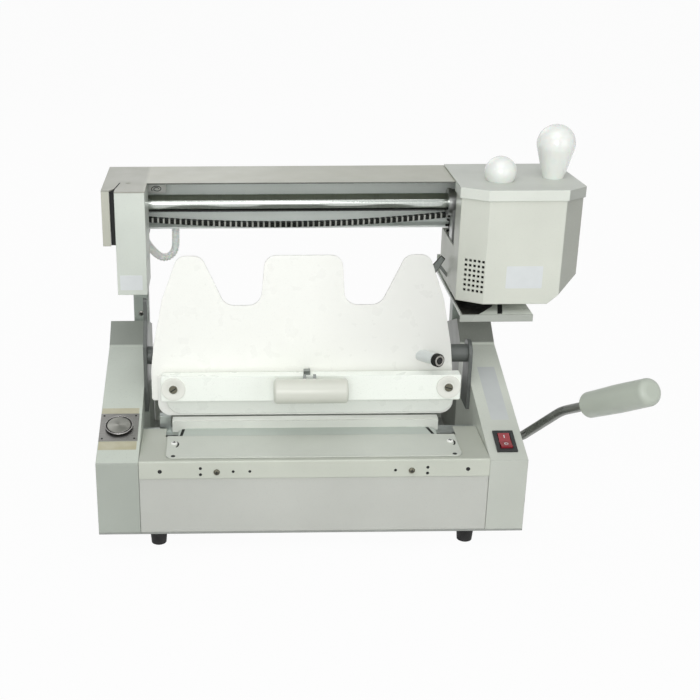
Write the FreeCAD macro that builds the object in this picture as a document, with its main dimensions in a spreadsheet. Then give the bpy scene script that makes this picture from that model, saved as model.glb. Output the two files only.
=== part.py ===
import FreeCAD, Part
import math
import os
import Sketcher

# Table-top perfect binding machine, millimetres.
# X runs to the right, Y to the back and Z up. Places are measured from the middle of the gap
# between the two side housings, from their front faces and from the table that the feet stand on.
# origin_x and origin_y then move every sub-part, so that the middle of the outline is at zero.

SIZES = {
    # origin
    "origin_x": 51.82,
    "origin_y": 109.83,
    # side housings, seen from the side
    "housing_sheet": 1.5,
    "table_half": 182.0,
    "left_housing_width": 44.0,
    "right_housing_width": 39.5,
    "foot_height": 18.0,
    "foot_radius": 9.5,
    "foot_end_radius": 8.0,
    "foot_x": 164.0,
    "foot_front_y": 16.0,
    "foot_back_y": 262.0,
    "base_sheet": 2.0,
    "fold_height": 101.0,
    "slope_angle": 15.87,
    "slope_depth": 190.0,
    "ridge_depth": 221.0,
    "ridge_height": 176.0,
    "housing_depth": 282.0,
    "rear_height": 150.0,
    # table
    "panel_recess": 0.5,
    "panel_sheet": 1.5,
    "side_clearance": 0.3,
    "table_height": 103.5,
    "table_depth": 78.5,
    "flange_bottom": 83.7,
    "notch_half": 156.0,
    "notch_front": 57.5,
    "rear_panel_height": 75.0,
    # nip
    "nip_plate_half": 154.0,
    "nip_plate_front": 5.0,
    "nip_plate_back": 56.0,
    "nip_plate_sheet": 1.5,
    "slide_gap": 0.2,
    "nip_corner_radius": 7.0,
    "nip_travel": 25.0,
    "bed_top": 101.0,
    "bed_sheet": 4.0,
    "bed_left": 143.0,
    "bed_right": 137.0,
    "bed_front": 58.0,
    "bed_corner_radius": 9.0,
    "jaw_face_y": 83.0,
    "rear_nip_thickness": 12.0,
    "rear_nip_top": 110.0,
    "rear_nip_left": 150.0,
    "rear_nip_right": 141.0,
    "side_stop_left": 164.0,
    "side_stop_right": 151.5,
    "side_stop_front": 86.0,
    "side_stop_top": 115.0,
    "bracket_sheet": 2.0,
    "shelf_front": 76.0,
    "shelf_reach": 47.0,
    "nip_arm_x": 147.0,
    "nip_arm_sheet": 4.0,
    "nip_tab_front": 32.0,
    "nip_tab_back": 46.0,
    # press lever
    "lever_y": 85.0,
    "lever_z": 87.0,
    "lever_radius": 6.0,
    "lever_swing": 45.0,
    "lever_hub_radius": 12.0,
    "lever_hub_length": 6.2,
    "lever_rod_radius": 5.0,
    "lever_sweep_radius": 60.0,
    "crank_gap": 0.6,
    "crank_width": 6.0,
    "crank_hub_radius": 9.5,
    "crank_pin_radius": 3.0,
    "crank_slot_gap": 0.5,
    "grip_start": 42.0,
    "grip_length": 93.0,
    "grip_radius": 14.5,
    "grip_round": 7.0,
    "fit_gap": 0.05,
    "bush_wall": 1.9,
    "bush_length": 8.0,
    # dial and switch
    "dial_x": -205.3,
    "dial_width": 41.0,
    "dial_start": 35.0,
    "dial_end": 78.5,
    "dial_sheet": 0.8,
    "dial_knob_radius": 14.8,
    "dial_knob_height": 3.0,
    "dial_spindle_radius": 3.0,
    "thermostat_depth": 26.0,
    "thermostat_radius": 16.0,
    "switch_x": 202.2,
    "switch_width": 21.5,
    "switch_start": 12.5,
    "switch_length": 32.0,
    "switch_flange": 2.0,
    "switch_rim": 4.0,
    "switch_body_depth": 16.0,
    "rocker_gap": 0.8,
    "rocker_pin_radius": 1.2,
    "inlet_x": 150.0,
    "inlet_z": 47.0,
    "inlet_width": 31.0,
    "inlet_height": 24.0,
    "inlet_wall": 2.5,
    "inlet_depth": 18.0,
    # clamp
    "clamp_centre": -9.0,
    "clamp_sheet": 2.0,
    "clamp_front": 88.0,
    "clamp_bottom": 133.0,
    "clamp_half": 162.5,
    "clamp_side_top": 168.0,
    "clamp_neck_half": 159.5,
    "clamp_neck_z": 195.0,
    "clamp_shoulder_half": 149.0,
    "clamp_shoulder_z": 248.0,
    "lobe_top": 296.5,
    "lobe_outer": 131.5,
    "lobe_inner": 107.0,
    "valley_z": 241.5,
    "valley_outer": 82.0,
    "valley_inner": 44.5,
    "centre_lobe_half": 40.5,
    "lobe_round": 13.0,
    "valley_round": 15.0,
    "clamp_corner_round": 3.0,
    "rear_jaw_thickness": 5.5,
    "rear_jaw_bottom": 117.5,
    "rear_jaw_top": 162.0,
    "rear_jaw_left": 164.6,
    "rear_jaw_right": 155.4,
    "rear_jaw_round": 14.0,
    "pivot_y": 135.0,
    "pivot_z": 167.0,
    "pivot_radius": 6.0,
    "arm_sheet": 3.0,
    "arm_eye_radius": 13.0,
    "pivot_boss_gap": 1.0,
    "pivot_boss_radius": 10.0,
    "pivot_plate_sheet": 4.0,
    "pivot_plate_bottom": 105.0,
    "pivot_plate_half": 15.0,
    "stop_post_front": 143.0,
    "stop_post_low": 205.0,
    "stop_post_top": 230.0,
    "plunger_x": 120.5,
    "plunger_z": 183.4,
    "plunger_turn": 30.0,
    "plunger_lift": 7.0,
    "sleeve_radius": 6.4,
    "sleeve_length": 21.7,
    "ring_radius": 7.2,
    "ring_length": 7.0,
    "socket_radius": 3.4,
    "socket_depth": 3.0,
    # sliding jaw
    "jaw_gap": 0.3,
    "bar_half": 160.3,
    "bar_thickness": 12.2,
    "bar_bottom": 139.0,
    "bar_top": 168.0,
    "lip_half": 155.0,
    "lip_thickness": 3.7,
    "lip_bottom": 121.0,
    "lip_round": 16.0,
    "disc_x": 147.3,
    "disc_z": 154.0,
    "disc_radius": 13.0,
    "disc_thickness": 1.5,
    "disc_screw_radius": 4.5,
    "disc_screw_height": 2.2,
    "rod_x": 128.0,
    "rod_radius": 5.0,
    "rod_back": 150.0,
    "rod_bush_radius": 9.0,
    "rod_bush_length": 12.0,
    # cam handle
    "cam_y": 64.7,
    "cam_z": 162.0,
    "cam_pin_radius": 2.5,
    "cam_hub_radius": 4.7,
    "cam_hub_half": 3.5,
    "lug_sheet": 3.0,
    "lug_gap": 0.3,
    "lug_root_half": 8.0,
    "lug_tip_half": 5.0,
    "lug_nose": 4.5,
    "handle_x": -2.0,
    "handle_y": 46.0,
    "handle_z": 161.0,
    "handle_half": 39.0,
    "handle_radius": 13.0,
    "handle_round": 3.5,
    "stem_radius": 4.0,
    # uprights and beam
    "post_x": 193.0,
    "post_width": 17.9,
    "post_front": 260.5,
    "post_depth": 19.5,
    "post_top": 346.0,
    "beam_top": 351.0,
    "cover_sheet": 1.5,
    "cover_left": 223.5,
    "beam_right": 280.0,
    "cover_front": 182.0,
    "cover_left_front": 150.0,
    "cover_step_x": 176.0,
    "flap_inset": 8.7,
    "flap_bottom": 289.0,
    "flap_back": 246.0,
    "beam_sheet": 2.0,
    "beam_bottom": 284.0,
    "beam_lip_front": 242.0,
    "column_left": 209.0,
    "column_width": 32.4,
    "column_front": 144.0,
    "column_back": 205.0,
    "column_bottom": 235.0,
    "shaft_y": 215.0,
    "shaft_z": 319.5,
    "shaft_radius": 10.0,
    "shaft_block_width": 14.0,
    "shaft_block_half": 16.0,
    # chain
    "chain_pitch": 6.35,
    "chain_roller_radius": 1.65,
    "chain_roller_half": 1.6,
    "chain_plate_height": 5.6,
    "chain_plate_sheet": 0.75,
    "chain_play": 0.1,
    "chain_pin_radius": 1.15,
    "chain_pin_half": 3.9,
    "chain_y": 225.0,
    "chain_left_x": -176.7,
    "chain_left_z": 297.9,
    "chain_low_x": -27.0,
    "chain_low_z": 291.5,
    "chain_links": 69.0,
    "chain_fall": 0.07,
    "anchor_width": 12.0,
    # hose
    "hose_radius": 4.65,
    "hose_bore_radius": 3.2,
    "hose_root_radius": 3.95,
    "hose_rib_pitch": 2.4,
    "hose_y": 270.0,
    "gland_radius": 6.0,
    "gland_length": 7.0,
    "gland_sheet": 2.0,
    # glue box
    "box_sheet": 1.5,
    "box_bottom": 224.7,
    "box_top": 351.7,
    "box_front": 134.0,
    "box_shoulder_y": 150.0,
    "box_rear": 256.0,
    "box_left": 164.4,
    "box_front_left": 192.0,
    "box_front_right": 274.0,
    "box_right": 296.0,
    "box_rear_right": 284.0,
    "box_side_end": 222.0,
    "box_cut_x": 261.4,
    "box_cut_z": 254.0,
    "tunnel_front": 180.0,
    "tunnel_bottom": 277.5,
    "vent_columns": 5.0,
    "vent_rows": 7.0,
    "vent_pitch": 4.9,
    "vent_row_pitch": 5.7,
    "vent_size": 2.9,
    "vent_start": 8.0,
    "vent_top": 274.0,
    "lid_top": 353.2,
    "lid_sheet": 1.2,
    "lid_rim": 12.0,
    "lid_overhang": 2.0,
    "ball_x": 210.5,
    "ball_y": 178.0,
    "ball_radius": 17.5,
    "ball_centre_z": 362.3,
    "egg_x": 272.0,
    "egg_y": 190.0,
    "egg_radius": 21.0,
    "egg_top": 411.9,
    "egg_taper": 15.0,
    "bearing_radius": 14.5,
    "bearing_flange_radius": 15.5,
    "bearing_flange": 4.0,
    "bearing_length": 24.0,
    "bearing_start": 161.0,
    "second_bearing_start": 234.0,
    "hanger_front": 202.0,
    "hanger_back": 218.0,
    "roller_x": 179.0,
    "roller_y": 185.0,
    "roller_radius": 13.0,
    "roller_half": 22.0,
    "roller_bottom": 219.5,
    "axle_radius": 3.0,
    "axle_half": 30.0,
    "pot_left": 196.0,
    "pot_right": 258.0,
    "pot_front": 150.0,
    "pot_back": 214.0,
    "pot_height": 46.0,
    "pot_wall": 3.0,
    "wheel_teeth": 14.0,
    "wheel_width": 2.8,
    "wheel_link": 56.0,
    # drip tray
    "tray_top": 216.0,
    "tray_sheet": 1.5,
    "tray_left": 165.5,
    "tray_right": 245.7,
    "tray_front": 123.0,
    "tray_back": 284.0,
    "tray_lip": 7.7,
    "tray_notch_gap": 0.5,
    "tray_slot_left": 215.8,
    "tray_slot_right": 221.1,
    "tray_slot_slant": 8.5,
    "tray_slot_front": 127.0,
    "tray_slot_back": 168.0,
    "tray_tab_height": 20.0,
    "screw_radius": 3.2,
    "screw_height": 1.6,
    "strip_screw_x": 101.0,
    "strip_screw_z": 91.0,
    "post_screw_z": 171.4,
    "plate_screw_x": 146.3,
    "plate_screw_y": 10.5,
    "plate_pin_y": 38.0,
    "plate_screw_radius": 3.4,
    "plate_screw_height": 1.2,
}

# The hose hangs freely, so its route is a list of points, X and Z, chosen by hand.
HOSE_ROUTE = [
    (-149.6, 289.0),
    (-149.6, 266.0),
    (-150.6, 247.2),
    (-157.4, 237.8),
    (-168.6, 236.8),
    (-176.4, 245.0),
    (-177.2, 256.0),
    (-177.2, 268.0),
]

# The lever rod leaves the hub along X, then bends up to the front: X, Y and Z from the shaft end.
ROD_BEND = (29.9, -40.0, 49.0)
ROD_RUN = (54.7, -103.0, 67.5)

doc = FreeCAD.newDocument("perfect_binding_machine")
sheet = doc.addObject("Spreadsheet::Sheet", "Sizes")
for row, (alias, number) in enumerate(SIZES.items(), start=1):
    cell = "A%d" % row
    sheet.set(cell, str(number))
    sheet.setAlias(cell, alias)
doc.recompute()

FINISHED = []


class Size:
    """A length or angle: its value, and the sheet formula that it comes from."""

    def __init__(self, value, formula):
        self.value = float(value)
        self.formula = formula

    def __add__(self, other):
        other = as_size(other)
        return Size(self.value + other.value, "(%s + %s)" % (self.formula, other.formula))

    def __radd__(self, other):
        return as_size(other) + self

    def __sub__(self, other):
        other = as_size(other)
        return Size(self.value - other.value, "(%s - %s)" % (self.formula, other.formula))

    def __rsub__(self, other):
        return as_size(other) - self

    def __mul__(self, other):
        other = as_size(other)
        return Size(self.value * other.value, "(%s * %s)" % (self.formula, other.formula))

    def __rmul__(self, other):
        return as_size(other) * self

    def __truediv__(self, other):
        other = as_size(other)
        return Size(self.value / other.value, "(%s / %s)" % (self.formula, other.formula))

    def __neg__(self):
        return Size(-self.value, "(0 - %s)" % self.formula)


def as_size(value):
    """Take a plain number as a Size."""
    if isinstance(value, Size):
        return value
    return Size(value, "(%r)" % float(value))


def trig(name, angle):
    """Sine, cosine or tangent of an angle in degrees."""
    angle = as_size(angle)
    value = getattr(math, name)(math.radians(angle.value))
    return Size(value, "%s(%s)" % (name, angle.formula))


class Sheet:
    """Each alias of the sheet as a Size."""


S = Sheet()
for alias in SIZES:
    setattr(S, alias, Size(sheet.get(alias), "Sizes." + alias))


def bind(thing, path, size):
    """Tie one property of an object to the sheet."""
    thing.setExpression(path, as_size(size).formula)


def place(thing, x, y, z):
    """Tie the place of an object to the sheet."""
    bind(thing, "Placement.Base.x", x)
    bind(thing, "Placement.Base.y", y)
    bind(thing, "Placement.Base.z", z)


AXIS_TURNS = {
    "X": FreeCAD.Rotation(FreeCAD.Vector(0, 1, 0), 90),
    "Y": FreeCAD.Rotation(FreeCAD.Vector(1, 0, 0), -90),
    "Z": FreeCAD.Rotation(),
}
PLANE_ROLES = {"XY": "XY_Plane", "XZ": "XZ_Plane", "YZ": "YZ_Plane"}


def box(name, x, y, z):
    """A block between two values on each axis."""
    block = doc.addObject("Part::Box", name)
    bind(block, "Length", as_size(x[1]) - x[0])
    bind(block, "Width", as_size(y[1]) - y[0])
    bind(block, "Height", as_size(z[1]) - z[0])
    place(block, x[0], y[0], z[0])
    return block


def rod(name, axis, centre, start, end, radius):
    """A round bar along an axis; centre holds the other two coordinates."""
    bar = doc.addObject("Part::Cylinder", name)
    bar.Placement = FreeCAD.Placement(FreeCAD.Vector(), AXIS_TURNS[axis])
    bind(bar, "Radius", radius)
    bind(bar, "Height", as_size(end) - start)
    base = {"X": (start, *centre), "Y": (centre[0], start, centre[1]), "Z": (*centre, start)}
    place(bar, *base[axis])
    return bar


def taper(name, centre, start, end, radius, end_radius):
    """An upright round piece that narrows from one end to the other."""
    cone = doc.addObject("Part::Cone", name)
    bind(cone, "Radius1", radius)
    bind(cone, "Radius2", end_radius)
    bind(cone, "Height", as_size(end) - start)
    place(cone, centre[0], centre[1], start)
    return cone


def fuse(name, *shapes):
    """Join shapes; shapes that stay apart remain separate solids."""
    joined = doc.addObject("Part::MultiFuse", name)
    joined.Shapes = list(shapes)
    joined.Refine = True
    return joined


def cut(name, base, *tools):
    """Take shapes away from a base."""
    result = doc.addObject("Part::Cut", name)
    result.Base = base
    result.Tool = tools[0] if len(tools) == 1 else fuse(name + "_tools", *tools)
    return result


def outline_sketch(body, name, plane, corners, holes=()):
    """A closed outline of straight lines with round holes, each point tied to the sheet."""
    sketch = body.newObject("Sketcher::SketchObject", name)
    role = PLANE_ROLES[plane]
    origin_plane = [item for item in body.Origin.OriginFeatures if item.Role == role][0]
    sketch.AttachmentSupport = [(origin_plane, "")]
    sketch.MapMode = "FlatFace"
    corners = [(as_size(u), as_size(v)) for u, v in corners]
    count = len(corners)
    points = [FreeCAD.Vector(u.value, v.value, 0) for u, v in corners]
    for index in range(count):
        sketch.addGeometry(Part.LineSegment(points[index], points[(index + 1) % count]))
    for index in range(count):
        sketch.addConstraint(Sketcher.Constraint("Coincident", index, 2, (index + 1) % count, 1))
    for index, corner in enumerate(corners):
        tie_point(sketch, index, 1, corner)
    for u, v, radius in holes:
        centre = (as_size(u), as_size(v))
        radius = as_size(radius)
        middle = FreeCAD.Vector(centre[0].value, centre[1].value, 0)
        circle = sketch.addGeometry(Part.Circle(middle, FreeCAD.Vector(0, 0, 1), radius.value))
        tie_point(sketch, circle, 3, centre)
        number = sketch.addConstraint(Sketcher.Constraint("Radius", circle, radius.value))
        bind(sketch, "Constraints[%d]" % number, radius)
    return sketch


def tie_point(sketch, geometry, vertex, place_on_sketch):
    """Fix one point of a sketch at its distances from the sketch's origin."""
    for kind, size in zip(("DistanceX", "DistanceY"), place_on_sketch):
        number = sketch.addConstraint(Sketcher.Constraint(kind, -1, 1, geometry, vertex, size.value))
        bind(sketch, "Constraints[%d]" % number, size)


def corner_edges(shape, plane, corner):
    """Names of the straight edges that stand on one corner of an outline."""
    names = []
    for number, edge in enumerate(shape.Edges, start=1):
        ends = [vertex.Point for vertex in edge.Vertexes]
        if len(ends) != 2:
            continue
        flat = [{"XY": (e.x, e.y), "XZ": (e.x, e.z), "YZ": (e.y, e.z)}[plane] for e in ends]
        if all(math.dist(point, corner) < 0.001 for point in flat):
            names.append("Edge%d" % number)
    return names


def plate(name, plane, corners, start, end, rounds=(), holes=()):
    """A flat piece: an outline given thickness, with rounded corners and round holes.

    rounds lists a radius with the numbers of the corners that it rounds.
    """
    body = doc.addObject("PartDesign::Body", name)
    sketch = outline_sketch(body, name + "_outline", plane, corners, holes)
    side = -1 if plane == "XZ" else 1
    pad = body.newObject("PartDesign::Pad", name + "_pad")
    pad.Profile = sketch
    bind(pad, "Length", as_size(end) - start)
    bind(sketch, "AttachmentOffset.Base.z", -as_size(end) if side < 0 else as_size(start))
    doc.recompute()
    for order, (radius, numbers) in enumerate(rounds):
        edges = []
        for number in numbers:
            corner = tuple(as_size(value).value for value in corners[number])
            edges += corner_edges(body.Tip.Shape, plane, corner)
        solid = body.Tip
        fillet = body.newObject("PartDesign::Fillet", "%s_round%d" % (name, order))
        fillet.Base = (solid, edges)
        fillet.Radius = as_size(radius).value
        bind(fillet, "Radius", radius)
        body.Tip = fillet
        doc.recompute()
    return body


def hollow(body, name, wall, open_direction):
    """Hollow a body out to a sheet, open on the flat face that looks in one direction."""
    solid = body.Tip
    shape = solid.Shape
    direction = FreeCAD.Vector(*open_direction)
    faces = [
        number
        for number, face in enumerate(shape.Faces, start=1)
        if face.Surface.TypeId == "Part::GeomPlane" and face.normalAt(0, 0).dot(direction) > 0.999
    ]
    # The outermost of the faces that look that way is the open one.
    faces.sort(key=lambda number: shape.Faces[number - 1].CenterOfMass.dot(direction))
    shell = body.newObject("PartDesign::Thickness", name)
    shell.Base = (solid, ["Face%d" % faces[-1]])
    shell.Value = as_size(wall).value
    bind(shell, "Value", wall)
    shell.Reversed = True
    shell.Join = 1
    body.Tip = shell
    doc.recompute()
    return body


def turned(name, points, rounds=()):
    """A piece turned about Z from an outline of radius and height, with rounded corners."""
    body = doc.addObject("PartDesign::Body", name)
    sketch = outline_sketch(body, name + "_outline", "XZ", points)
    revolution = body.newObject("PartDesign::Revolution", name + "_turn")
    revolution.Profile = sketch
    revolution.ReferenceAxis = (sketch, ["V_Axis"])
    revolution.Angle = 360
    doc.recompute()
    for order, (radius, number) in enumerate(rounds):
        ring, height = (as_size(value).value for value in points[number])
        edges = []
        for index, edge in enumerate(body.Tip.Shape.Edges, start=1):
            curve = edge.Curve
            if curve.TypeId != "Part::GeomCircle":
                continue
            if abs(curve.Radius - ring) < 0.001 and abs(curve.Center.z - height) < 0.001:
                edges.append("Edge%d" % index)
        solid = body.Tip
        fillet = body.newObject("PartDesign::Fillet", "%s_round%d" % (name, order))
        fillet.Base = (solid, edges)
        fillet.Radius = as_size(radius).value
        bind(fillet, "Radius", radius)
        body.Tip = fillet
        doc.recompute()
    return body


def alone(name, piece):
    """A sub-part that is one primitive, kept at its own place inside the sub-part."""
    group = doc.addObject("Part::Compound", name)
    group.Links = [piece]
    return group


def finish(piece, label, x=0, y=0, z=0):
    """Name a finished sub-part and move it into the frame of the origin."""
    piece.Label = label
    place(piece, as_size(x) - S.origin_x, as_size(y) - S.origin_y, z)
    FINISHED.append(piece)
    return piece


def feature(name, shape, label):
    """A sub-part whose shape is made directly; its place is set after its shape."""
    piece = doc.addObject("Part::Feature", name)
    piece.Shape = shape
    piece.Placement = FreeCAD.Placement()
    return finish(piece, label)


# Values that several pieces share.
housing_floor = S.foot_height + S.base_sheet
rear_face = S.housing_depth - S.housing_sheet
table_under = S.table_height - S.panel_sheet
left_outer = -(S.table_half + S.left_housing_width)
right_outer = S.table_half + S.right_housing_width
slope_top = S.fold_height + S.slope_depth * trig("tan", S.slope_angle)
panel_half = S.table_half - S.side_clearance
post_half = S.post_width / 2
post_back = S.post_front + S.post_depth
nip_under = S.table_height + S.slide_gap
lever_centre = (S.lever_y, S.lever_z)
rear_nip_bottom = S.bed_top - S.bed_sheet
crank_reach = S.nip_travel / 2 / trig("sin", S.lever_swing / 2)
pin_y = S.lever_y - S.nip_travel / 2
pin_z = S.lever_z - crank_reach * trig("cos", S.lever_swing / 2)
clamp_back = S.clamp_front + S.clamp_sheet
clamp_left = S.clamp_centre - S.clamp_half
clamp_right = S.clamp_centre + S.clamp_half
pivot_centre = (S.pivot_y, S.pivot_z)
rear_jaw_front = S.clamp_front - S.rear_jaw_thickness
bar_back = rear_jaw_front - S.jaw_gap
bar_front = bar_back - S.bar_thickness
beam_back = S.post_front
beam_front = beam_back - S.beam_sheet
cover_under = S.beam_top - S.cover_sheet
shaft_centre = (S.shaft_y, S.shaft_z)
lid_under = S.lid_top - S.lid_sheet


def make_base():
    """Base plate on four rubber feet."""
    corners = [
        (left_outer, 0),
        (right_outer, 0),
        (right_outer, S.housing_depth),
        (left_outer, S.housing_depth),
    ]
    feet = [
        (side * S.foot_x, depth)
        for side in (-1, 1)
        for depth in (S.foot_front_y, S.foot_back_y)
    ]
    finish(plate("base", "XY", corners, S.foot_height, housing_floor), "base_plate")
    cones = [
        taper("foot_%d" % number, centre, 0, S.foot_height, S.foot_end_radius, S.foot_radius)
        for number, centre in enumerate(feet)
    ]
    finish(fuse("feet", *cones), "rubber_feet")


def make_housings():
    """Folded side housings with a sloping top and a ridge, open at the bottom."""
    side_outline = [
        (0, housing_floor),
        (0, S.fold_height),
        (S.slope_depth, slope_top),
        (S.ridge_depth, S.ridge_height),
        (S.housing_depth, S.rear_height),
        (S.housing_depth, housing_floor),
    ]
    for side, start, end in (
        ("left", left_outer, -S.table_half),
        ("right", S.table_half, right_outer),
    ):
        shell = plate(side + "_shell", "YZ", side_outline, start, end)
        hollow(shell, side + "_sheet", S.housing_sheet, (0, 0, -1))
        sign = -1 if side == "left" else 1
        middle = sign * S.post_x
        post_hole = box(
            side + "_post_hole",
            (middle - post_half - S.side_clearance, middle + post_half + S.side_clearance),
            (S.post_front - S.side_clearance, post_back + S.side_clearance),
            (S.rear_height - 20, S.ridge_height),
        )
        tools = [post_hole]
        if side == "left":
            tools.append(dial_hole())
        else:
            hole_radius = S.lever_radius + S.side_clearance
            tools.append(rod("lever_hole", "X", lever_centre, start - 1, end + 1, hole_radius))
            tools.append(switch_hole())
        finish(cut(side + "_cover", shell, *tools), side + "_housing")


def on_slope(piece, x, along, lift=0):
    """Lay a piece, made about zero, on the sloping top of a housing."""
    piece.Placement = FreeCAD.Placement(
        FreeCAD.Vector(), FreeCAD.Rotation(FreeCAD.Vector(1, 0, 0), S.slope_angle.value)
    )
    bind(piece, "Placement.Rotation.Angle", S.slope_angle)
    slope_sin = trig("sin", S.slope_angle)
    slope_cos = trig("cos", S.slope_angle)
    y = along * slope_cos - as_size(lift) * slope_sin
    z = S.fold_height + along * slope_sin + as_size(lift) * slope_cos
    place(piece, x, y, z)
    return y, z


def finish_on_slope(piece, label, x, along, lift=0):
    """Name a piece on the slope and move it into the frame of the origin."""
    y, z = on_slope(piece, x, along, lift)
    finish(piece, label, x, y, z)


dial_along = (S.dial_start + S.dial_end) / 2
dial_length = S.dial_end - S.dial_start
switch_along = S.switch_start + S.switch_length / 2
switch_body_width = S.switch_width - S.switch_rim
switch_body_length = S.switch_length - S.switch_rim


def dial_hole():
    """Round hole in the left slope for the thermostat spindle."""
    radius = S.dial_spindle_radius + S.side_clearance
    hole = rod("dial_hole", "Z", (0, 0), 0, 12, radius)
    on_slope(hole, S.dial_x, dial_along, -6)
    return hole


def switch_hole():
    """Oblong hole in the right slope for the switch body."""
    width = switch_body_width / 2
    length = switch_body_length / 2
    corners = [(-width, -length), (width, -length), (width, length), (-width, length)]
    hole = plate("switch_hole", "XY", corners, -6, 6)
    on_slope(hole, S.switch_x, switch_along)
    return hole


def inlet_hole():
    """Oblong hole in the rear panel for the power inlet."""
    half_width = S.inlet_width / 2 - S.inlet_wall
    half_height = S.inlet_height / 2 - S.inlet_wall
    return box(
        "inlet_hole",
        (S.inlet_x - half_width, S.inlet_x + half_width),
        (rear_face - 4, rear_face + 1),
        (S.inlet_z - half_height, S.inlet_z + half_height),
    )


def make_dial():
    """Thermostat below the left slope, its square dial plate and its knob."""
    half_width = S.dial_width / 2
    half_length = dial_length / 2
    corners = [
        (-half_width, -half_length),
        (half_width, -half_length),
        (half_width, half_length),
        (-half_width, half_length),
    ]
    hole = [(0, 0, S.dial_spindle_radius + S.side_clearance)]
    dial = plate("dial", "XY", corners, 0, S.dial_sheet, holes=hole)
    finish_on_slope(dial, "dial_plate", S.dial_x, dial_along)
    drum_top = -S.housing_sheet
    drum = rod("drum", "Z", (0, 0), drum_top - S.thermostat_depth, drum_top, S.thermostat_radius)
    spindle_top = S.dial_knob_height / 2 + S.dial_sheet
    spindle = rod("spindle", "Z", (0, 0), drum_top - 1, spindle_top, S.dial_spindle_radius)
    finish_on_slope(fuse("thermostat", drum, spindle), "thermostat_body", S.dial_x, dial_along)
    knob_bottom = S.dial_sheet + S.side_clearance
    knob_top = knob_bottom + S.dial_knob_height
    ridge = S.dial_knob_radius - 1.6
    outline = [
        (0, knob_bottom),
        (S.dial_knob_radius, knob_bottom),
        (S.dial_knob_radius, knob_top - 1.2),
        (S.dial_knob_radius - 0.8, knob_top - 0.4),
        (ridge, knob_top - 0.4),
        (ridge - 0.8, knob_top),
        (0, knob_top),
    ]
    knob = turned("knob", outline)
    bore_radius = S.dial_spindle_radius + S.fit_gap
    bore = rod("knob_bore", "Z", (0, 0), 0, spindle_top + S.side_clearance, bore_radius)
    finish_on_slope(cut("knob_bored", knob, bore), "thermostat_knob", S.dial_x, dial_along)


def make_switch():
    """Rocker switch on the right slope: a frame with a body, and the rocker in it."""
    half_width = S.switch_width / 2
    half_length = S.switch_length / 2
    frame = box(
        "switch_frame", (-half_width, half_width), (-half_length, half_length), (0, S.switch_flange)
    )
    body_width = switch_body_width / 2 - S.side_clearance
    body_length = switch_body_length / 2 - S.side_clearance
    body = box(
        "switch_body",
        (-body_width, body_width),
        (-body_length, body_length),
        (-S.switch_body_depth, S.switch_flange),
    )
    well_width = body_width - 1.6
    well_length = body_length - 1.6
    well = box(
        "switch_well", (-well_width, well_width), (-well_length, well_length), (-8, S.switch_flange)
    )
    pin_half = body_width - 0.7
    pin_hole = rod("rocker_pin_hole", "X", (0, 0), -pin_half - S.fit_gap, pin_half + S.fit_gap,
                   S.rocker_pin_radius + S.fit_gap)
    bezel = cut("switch_bezel_cut", fuse("switch_bezel_solid", frame, body), well, pin_hole)
    finish_on_slope(bezel, "switch_bezel", S.switch_x, switch_along)
    rocker_half = well_length - S.rocker_gap
    rocker_side = well_width - S.rocker_gap
    rocker_outline = [
        (-rocker_half, -4.0),
        (rocker_half, -4.0),
        (rocker_half, S.switch_flange + 0.6),
        (0, S.switch_flange - 0.6),
        (-rocker_half, S.switch_flange + 2.2),
    ]
    rocker = plate("rocker", "YZ", rocker_outline, -rocker_side, rocker_side)
    pin = rod("rocker_pin", "X", (0, 0), -pin_half, pin_half, S.rocker_pin_radius)
    finish_on_slope(fuse("rocker_on_pin", rocker, pin), "rocker_switch", S.switch_x, switch_along)


def make_inlet():
    """Three-pin power inlet in the rear panel."""
    half_width = S.inlet_width / 2
    half_height = S.inlet_height / 2
    flange_corners = [
        (S.inlet_x - half_width, S.inlet_z - half_height),
        (S.inlet_x + half_width, S.inlet_z - half_height),
        (S.inlet_x + half_width, S.inlet_z + half_height),
        (S.inlet_x - half_width, S.inlet_z + half_height),
    ]
    outside = rear_face + S.bracket_sheet
    flange = plate("inlet_flange", "XZ", flange_corners, rear_face, outside)
    body_half = half_width - S.inlet_wall - S.side_clearance
    body_tall = half_height - S.inlet_wall - S.side_clearance
    body = box(
        "inlet_body",
        (S.inlet_x - body_half, S.inlet_x + body_half),
        (rear_face - S.inlet_depth, outside),
        (S.inlet_z - body_tall, S.inlet_z + body_tall),
    )
    well = box(
        "inlet_well",
        (S.inlet_x - body_half + 1.5, S.inlet_x + body_half - 1.5),
        (rear_face - S.inlet_depth + 3, outside),
        (S.inlet_z - body_tall + 1.5, S.inlet_z + body_tall - 1.5),
    )
    shell = cut("inlet_shell", fuse("inlet_solid", flange, body), well)
    pins = []
    for number, (across, up) in enumerate(((-7, -2), (0, 2), (7, -2))):
        pins.append(
            box(
                "inlet_pin_%d" % number,
                (S.inlet_x + across - 1, S.inlet_x + across + 1),
                (rear_face - S.inlet_depth + 2, rear_face - 2),
                (S.inlet_z + up - 2, S.inlet_z + up + 2),
            )
        )
    finish(fuse("inlet", shell, *pins), "power_inlet")


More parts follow.
